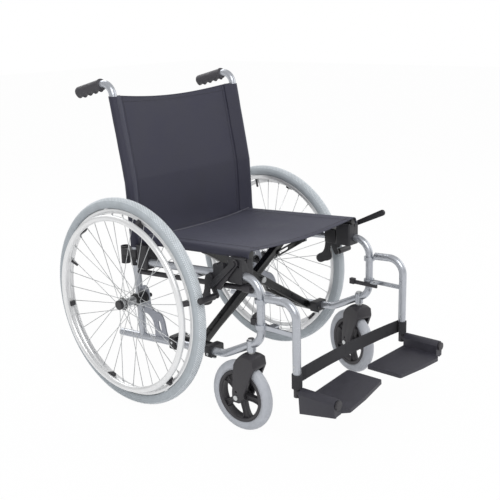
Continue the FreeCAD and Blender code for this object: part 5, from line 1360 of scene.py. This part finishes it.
class MakeSeat(ChairOperator):
    """Sling seat with side flaps, seams, a front hem and a piped rear edge"""

    bl_idname = "chair.make_seat"
    bl_label = "Seat"

    def execute(self, context):
        low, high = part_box("seat_sling")
        rail = 0.232
        reach = 11.4 * MM
        rail_drop = 0.0135
        slope = math.tan(math.radians(3.4))
        rear_top = high.z - rail_drop - slope * (high.y - low.y)
        across = self.section(rail, reach)
        count = 90
        rows = []
        length_y = high.y - low.y - 2 * MM
        for i in range(count + 1):
            share = i / count
            y = high.y - MM - share * length_y
            z = rear_top + slope * (high.y - y)
            rows.append([self.point(x, dz, y, z, share, rail) for x, dz in across])
        seat = thickened(grid(rows), "seat_cloth", nylon(), sizes().cloth_thick, -1)
        flap = 0.018
        flaps = 2 * (flap + reach * math.pi / 2)
        stitches = sew(self.seams(rows, across), "seat_stitches", thread())
        self.settle_all(seat, stitches, self.piping(rows), rail, (flaps + 2 * rail, length_y))
        return {"FINISHED"}

    def section(self, rail, reach):
        """Distance from the middle and height over the rail's middle, from the right flap to the left."""
        side = [(rail + reach + 1.2 * MM, -9 * MM), (rail + reach + 1.6 * MM, -6 * MM),
                (rail + reach + 1.2 * MM, -3 * MM)]
        for i in range(7):
            angle = math.radians(i * 15)
            out = (reach + MM * math.cos(angle)) * math.cos(angle)
            side.append((rail + out, reach * math.sin(angle)))
        points = [(-x, z) for x, z in side]
        flat = 44
        for i in range(1, flat):
            x = -rail + 2 * rail * i / flat
            sag = 12 * MM * (1 - (x / rail) ** 2)
            points.append((x, reach - sag))
        return points + side[::-1]

    def point(self, x, dz, y, z, share, rail):
        """A place on the cloth with slight hollows, tension folds and an uneven flap."""
        inside = max(1 - (x / rail) ** 2, 0)
        by_rail = max(0, 1 - abs(abs(x) - rail + 0.04) / 0.05)
        soft = noise.noise(Vector((x * 7, y * 7, 0.3))) * 1.6 * MM * inside
        fold = noise.noise(Vector((x * 3, y * 38, 4.1))) * 0.7 * MM * by_rail
        wave = 0
        if dz < 0:
            wave = noise.noise(Vector((y * 14, 1.7, x * 10))) * 0.9 * MM
        hem = -2.2 * MM * max(0, 1 - (1 - share) / 0.02) * inside
        return Vector((x + math.copysign(wave, x), y, z + dz + soft + fold + hem))

    def seams(self, rows, across):
        """Stitch rows beside each rail, along each flap and inside both hems."""
        count = len(across)
        lines = []
        for j in (1, 12, count - 13, count - 2):
            lines.append([row[j] + self.out(across[j]) * 1.5 * MM for row in rows])
        for i in (3, len(rows) - 4):
            lines.append([point + Vector((0, 0, 1.3 * MM)) for point in rows[i][10:-10]])
        return lines

    def out(self, place):
        """The way out of the cloth: sideways on a flap, upwards on the seat."""
        x, dz = place
        return Vector((math.copysign(1, x), 0, 0)) if dz < 0 else Z_AXIS

    def piping(self, rows):
        """A light corded edge along the back of the seat."""
        path = [point + Vector((0, -0.5 * MM, 0.6 * MM)) for point in rows[0][9:-9]]
        light = material_named("piping", moulded_plastic, (0.12, 0.12, 0.145), 0.5, 900, 0.05)
        return from_bmesh(rod(path, [1.5 * MM] * len(path), 8), "seat_piping", light)

    def settle_all(self, seat, stitches, piping, rail, flat):
        for piece in (seat, stitches, piping):
            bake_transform(piece)
        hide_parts("seat_sling")


class MakeBack(ChairOperator):
    """Sling back: sleeves round both canes and a slightly hollow panel between them"""

    bl_idname = "chair.make_back"
    bl_label = "Back"

    def execute(self, context):
        low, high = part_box("back_sling")
        self.low_z = low.z + MM
        self.high_z = high.z - MM
        self.make_panel()
        for side, name in SIDES:
            self.make_sleeve(side, name)
        return {"FINISHED"}

    def cane(self, z):
        """Middle of the canes at a height: two straight runs with a soft bend between them."""
        start_z = 0.178
        bend_z = 0.640
        top_z = 0.923
        start = 18 * MM
        bend = 40 * MM
        top = 97 * MM
        low_lean = (bend - start) / (bend_z - start_z)
        high_lean = (top - bend) / (top_z - bend_z)
        behind = bend + (z - bend_z) * (low_lean if z < bend_z else high_lean)
        soft = max(0, 1 - abs(z - bend_z) / 0.03)
        return AXLE_Y + behind + 0.35 * MM * soft

    def make_panel(self):
        """The panel with its stitch rows and both hems."""
        seam = 0.2235
        behind_canes = 10.2 * MM
        up_steps = 80
        side_steps = 60
        rows = []
        for i in range(up_steps + 1):
            up = i / up_steps
            z = self.low_z + up * (self.high_z - self.low_z)
            row = []
            for j in range(side_steps + 1):
                across = -1 + 2 * j / side_steps
                x = across * seam
                bow = 1 - across ** 2
                dip = -15 * MM * bow ** 1.1 * up ** 12
                near_seam = max(0, 1 - (1 - abs(across)) / 0.2)
                y = self.cane(z) + behind_canes + 13 * MM * bow
                y += noise.noise(Vector((x * 6, z * 6, 2.2))) * 1.8 * MM * bow
                y += noise.noise(Vector((x * 30, z * 4, 7.7))) * 0.8 * MM * near_seam
                row.append(Vector((x, y, z + dip)))
            rows.append(row)
        panel = thickened(grid(rows), "back_panel", nylon(), sizes().cloth_thick, 0)
        forward = Vector((0, -1.6 * MM, 0))
        lines = [[point + forward for point in rows[i]] for i in (3, up_steps - 3)]
        lines += [[row[j] + forward for row in rows] for j in (2, side_steps - 2)]
        stitches = sew(lines, "back_stitches", thread())
        top_path = [point + Vector((0, 0, -0.4 * MM)) for point in rows[-1]]
        hem = self.make_hem(top_path, 2.1 * MM, "back_top_hem")
        foot = self.make_hem(rows[0], 2.0 * MM, "back_low_hem")
        for piece in (panel, stitches, hem, foot):
            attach(piece, "right_frame")
            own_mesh(piece)
        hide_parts("back_sling")

    def make_hem(self, path, radius, name):
        return from_bmesh(rod(path, [radius] * len(path), 10), name, nylon())

    def make_sleeve(self, side, name):
        """A flattened tube of cloth round the cane, drawn in to a deep seam on the inner side."""
        middle = side * FRAME_HALF
        radius = 13.4 * MM
        sides = 40
        steps = 80
        rows = []
        for i in range(steps + 1):
            z = self.low_z + i / steps * (self.high_z + 2 * MM - self.low_z)
            y = self.cane(z)
            row = []
            for j in range(sides):
                angle = j * math.tau / sides
                out = math.cos(angle)
                back = math.sin(angle)
                x = radius * out
                dy = radius * back
                if out < 0:
                    pull = (-out) ** 1.6
                    x -= 19.5 * MM * pull
                    dy = dy * (1 - 0.62 * pull) + 7.5 * MM * pull
                wrinkle = noise.noise(Vector((angle * 1.2, z * 16, side * 3.0))) * 0.7 * MM
                x += wrinkle * out
                dy += wrinkle * back
                row.append(Vector((middle + side * x, y + dy, z)))
            rows.append(row)
        shape = grid(rows, closed_across=True)
        piece = thickened(shape, f"{name}_back_sleeve", nylon(), 1.4 * MM, -1)
        settle(piece, f"{name}_frame", "cloth")
        seam_points = [row[sides // 2] + Vector((side * 3.0 * MM, -2.4 * MM, 0)) for row in rows]
        seam = sew([seam_points], f"{name}_sleeve_stitches", thread())
        settle(seam, f"{name}_frame", "cloth")
        rings = []
        for i in (14, 40, 66):
            rings.append((rows[i][0] + Vector((-side * 0.2 * MM, 0, 0)), (side, 0, 0), 0.62))
        eyelets = bolt_heads(rings, f"{name}_sleeve_eyelets", charcoal())
        settle(eyelets, f"{name}_frame", "black_plastic")


class MakeCalfStrap(ChairOperator):
    """Webbing strap in two halves, looped round the footrest tubes"""

    bl_idname = "chair.make_calf_strap"
    bl_label = "Calf Strap"

    def execute(self, context):
        for side, name in SIDES:
            self.make_half(side, name)
        return {"FINISHED"}

    def course(self, side, tube):
        """The strap's course seen from above: round the tube, then in to the chair's middle."""
        radius = 12.9 * MM
        steps = 24
        ring = []
        for i in range(steps + 1):
            angle = math.radians(80 + i * 290 / steps)
            ring.append((tube.x - side * radius * math.cos(angle), tube.y + radius * math.sin(angle)))
        count = 30
        span = []
        for i in range(1, count + 1):
            x = tube.x * (1 - i / count)
            sag = 13.72 * MM * (1 - (x / tube.x) ** 2)
            span.append((x, tube.y + 12.6 * MM + sag))
        return ring[::-1], span[:-1] + [(side * 0.2 * MM, span[-1][1])]

    def make_half(self, side, name):
        low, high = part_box(f"{name}_calf_strap")
        ahead = 0.564
        tube = Vector((side * FRAME_HALF, AXLE_Y - ahead, 0))
        ring, span = self.course(side, tube)
        outline = ring + span
        steps = 10
        tall = high.z - low.z - 2 * MM
        rows = []
        for i in range(steps + 1):
            share = i / steps
            row = []
            for x, y in outline:
                ripple = noise.noise(Vector((x * 9, share, side * 5.0))) * 0.8 * MM
                drop = -0.6 * MM * (1 - (x / tube.x) ** 2) if abs(x) < abs(tube.x) else 0
                row.append(Vector((x, y + ripple * 0.4, low.z + MM + tall * share + drop + ripple * 0.5)))
            rows.append(row)
        piece = thickened(grid(rows), f"{name}_calf_band", webbing(), 2.0 * MM, 0)
        lines = []
        for i in (1, steps - 1):
            lines.append([point + Vector((0, 1.3 * MM, 0)) for point in rows[i][24:]])
            lines.append([point + Vector((0, -1.3 * MM, 0)) for point in rows[i][26:]])
        cross = len(ring) + 5
        for j in (cross, cross + 1):
            lines.append([row[j] + Vector((0, -1.4 * MM, 0)) for row in rows])
        stitches = sew(lines, f"{name}_calf_stitches", thread())
        for part in (piece, stitches):
            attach(part, f"{name}_footrest")
            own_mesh(part)
        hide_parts(f"{name}_calf_strap")


class MakeBolts(ChairOperator):
    """Bolt heads on the brace brackets and the footrests"""

    bl_idname = "chair.make_bolts"
    bl_label = "Bolts"

    def execute(self, context):
        for side, name in SIDES:
            self.frame_bolts(side, name)
            self.footrest_bolts(side, name)
        return {"FINISHED"}

    def frame_bolts(self, side, name):
        """A bolt under each brace bracket and one on its outer face."""
        outward = (side, 0, 0)
        under_x = side * 0.2385
        outer_x = side * 0.2675
        inset = 11 * MM
        near = 14 * MM
        low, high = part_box(f"{name}_brace_brackets")
        points = [vert.co for vert in frame["nodes"][f"{name}_brace_brackets"].data.vertices]
        places = []
        for y in (low.y + inset, high.y - inset):
            bottom = min(point.z for point in points if abs(point.y - y) < near)
            places.append((Vector((under_x, y, bottom - MM)), (0, 0, -1), 1.0))
            places.append((Vector((outer_x, y, (low.z + high.z) / 2 + 3 * MM)), outward, 0.8))
        piece = bolt_heads(places, f"{name}_frame_bolts", steel())
        settle(piece, f"{name}_frame", "steel")

    def footrest_bolts(self, side, name):
        """Two bolts on each face of the hanger's lower end."""
        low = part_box(f"{name}_hanger")[0]
        x = side * FRAME_HALF
        y = low.y + TUBE_RADIUS
        out = side * 11.2 * MM
        places = []
        for z in (low.z + 14 * MM, low.z + 26 * MM):
            places.append((Vector((x - out, y, z)), (-side, 0, 0), 0.55))
            places.append((Vector((x + out, y, z)), (side, 0, 0), 0.55))
        piece = bolt_heads(places, f"{name}_hanger_bolts", steel())
        settle(piece, f"{name}_footrest", "steel")


class PanelOfPieces(bpy.types.Panel):
    """Lists the pieces, sizes and colours in the sidebar"""

    bl_idname = "VIEW3D_PT_chair_pieces"
    bl_label = "Wheelchair"
    bl_space_type = "VIEW_3D"
    bl_region_type = "UI"
    bl_category = "Wheelchair"

    def draw(self, context):
        layout = self.layout
        for operator in OPERATORS:
            layout.operator(operator.bl_idname)
        for group in (context.scene.chair_sizes, context.scene.chair_colours):
            box = layout.box()
            for key in group.__annotations__:
                box.prop(group, key)


OPERATORS = (MakeStage, MakeTyres, MakeRims, MakeSpokes, MakeHandRims, MakeCastors, MakeHardware,
             MakeAxlePlates, MakeBrakeBoots, MakeGrips, MakeSeat, MakeBack, MakeCalfStrap, MakeBolts)
CLASSES = (ChairSizes, ChairColours, *OPERATORS, PanelOfPieces)


def register():
    for item in CLASSES:
        bpy.utils.register_class(item)
    bpy.types.Scene.chair_sizes = PointerProperty(type=ChairSizes)
    bpy.types.Scene.chair_colours = PointerProperty(type=ChairColours)


def unregister():
    del bpy.types.Scene.chair_colours
    del bpy.types.Scene.chair_sizes
    for item in reversed(CLASSES):
        bpy.utils.unregister_class(item)


def main():
    register()
    bpy.ops.chair.make_stage()
    bpy.ops.chair.make_tyres()
    bpy.ops.chair.make_rims()
    bpy.ops.chair.make_spokes()
    bpy.ops.chair.make_hand_rims()
    bpy.ops.chair.make_castors()
    bpy.ops.chair.make_hardware()
    bpy.ops.chair.make_axle_plates()
    bpy.ops.chair.make_brake_boots()
    bpy.ops.chair.make_grips()
    bpy.ops.chair.make_seat()
    bpy.ops.chair.make_back()
    bpy.ops.chair.make_calf_strap()
    bpy.ops.chair.make_bolts()


if __name__ == "__main__":
    main()
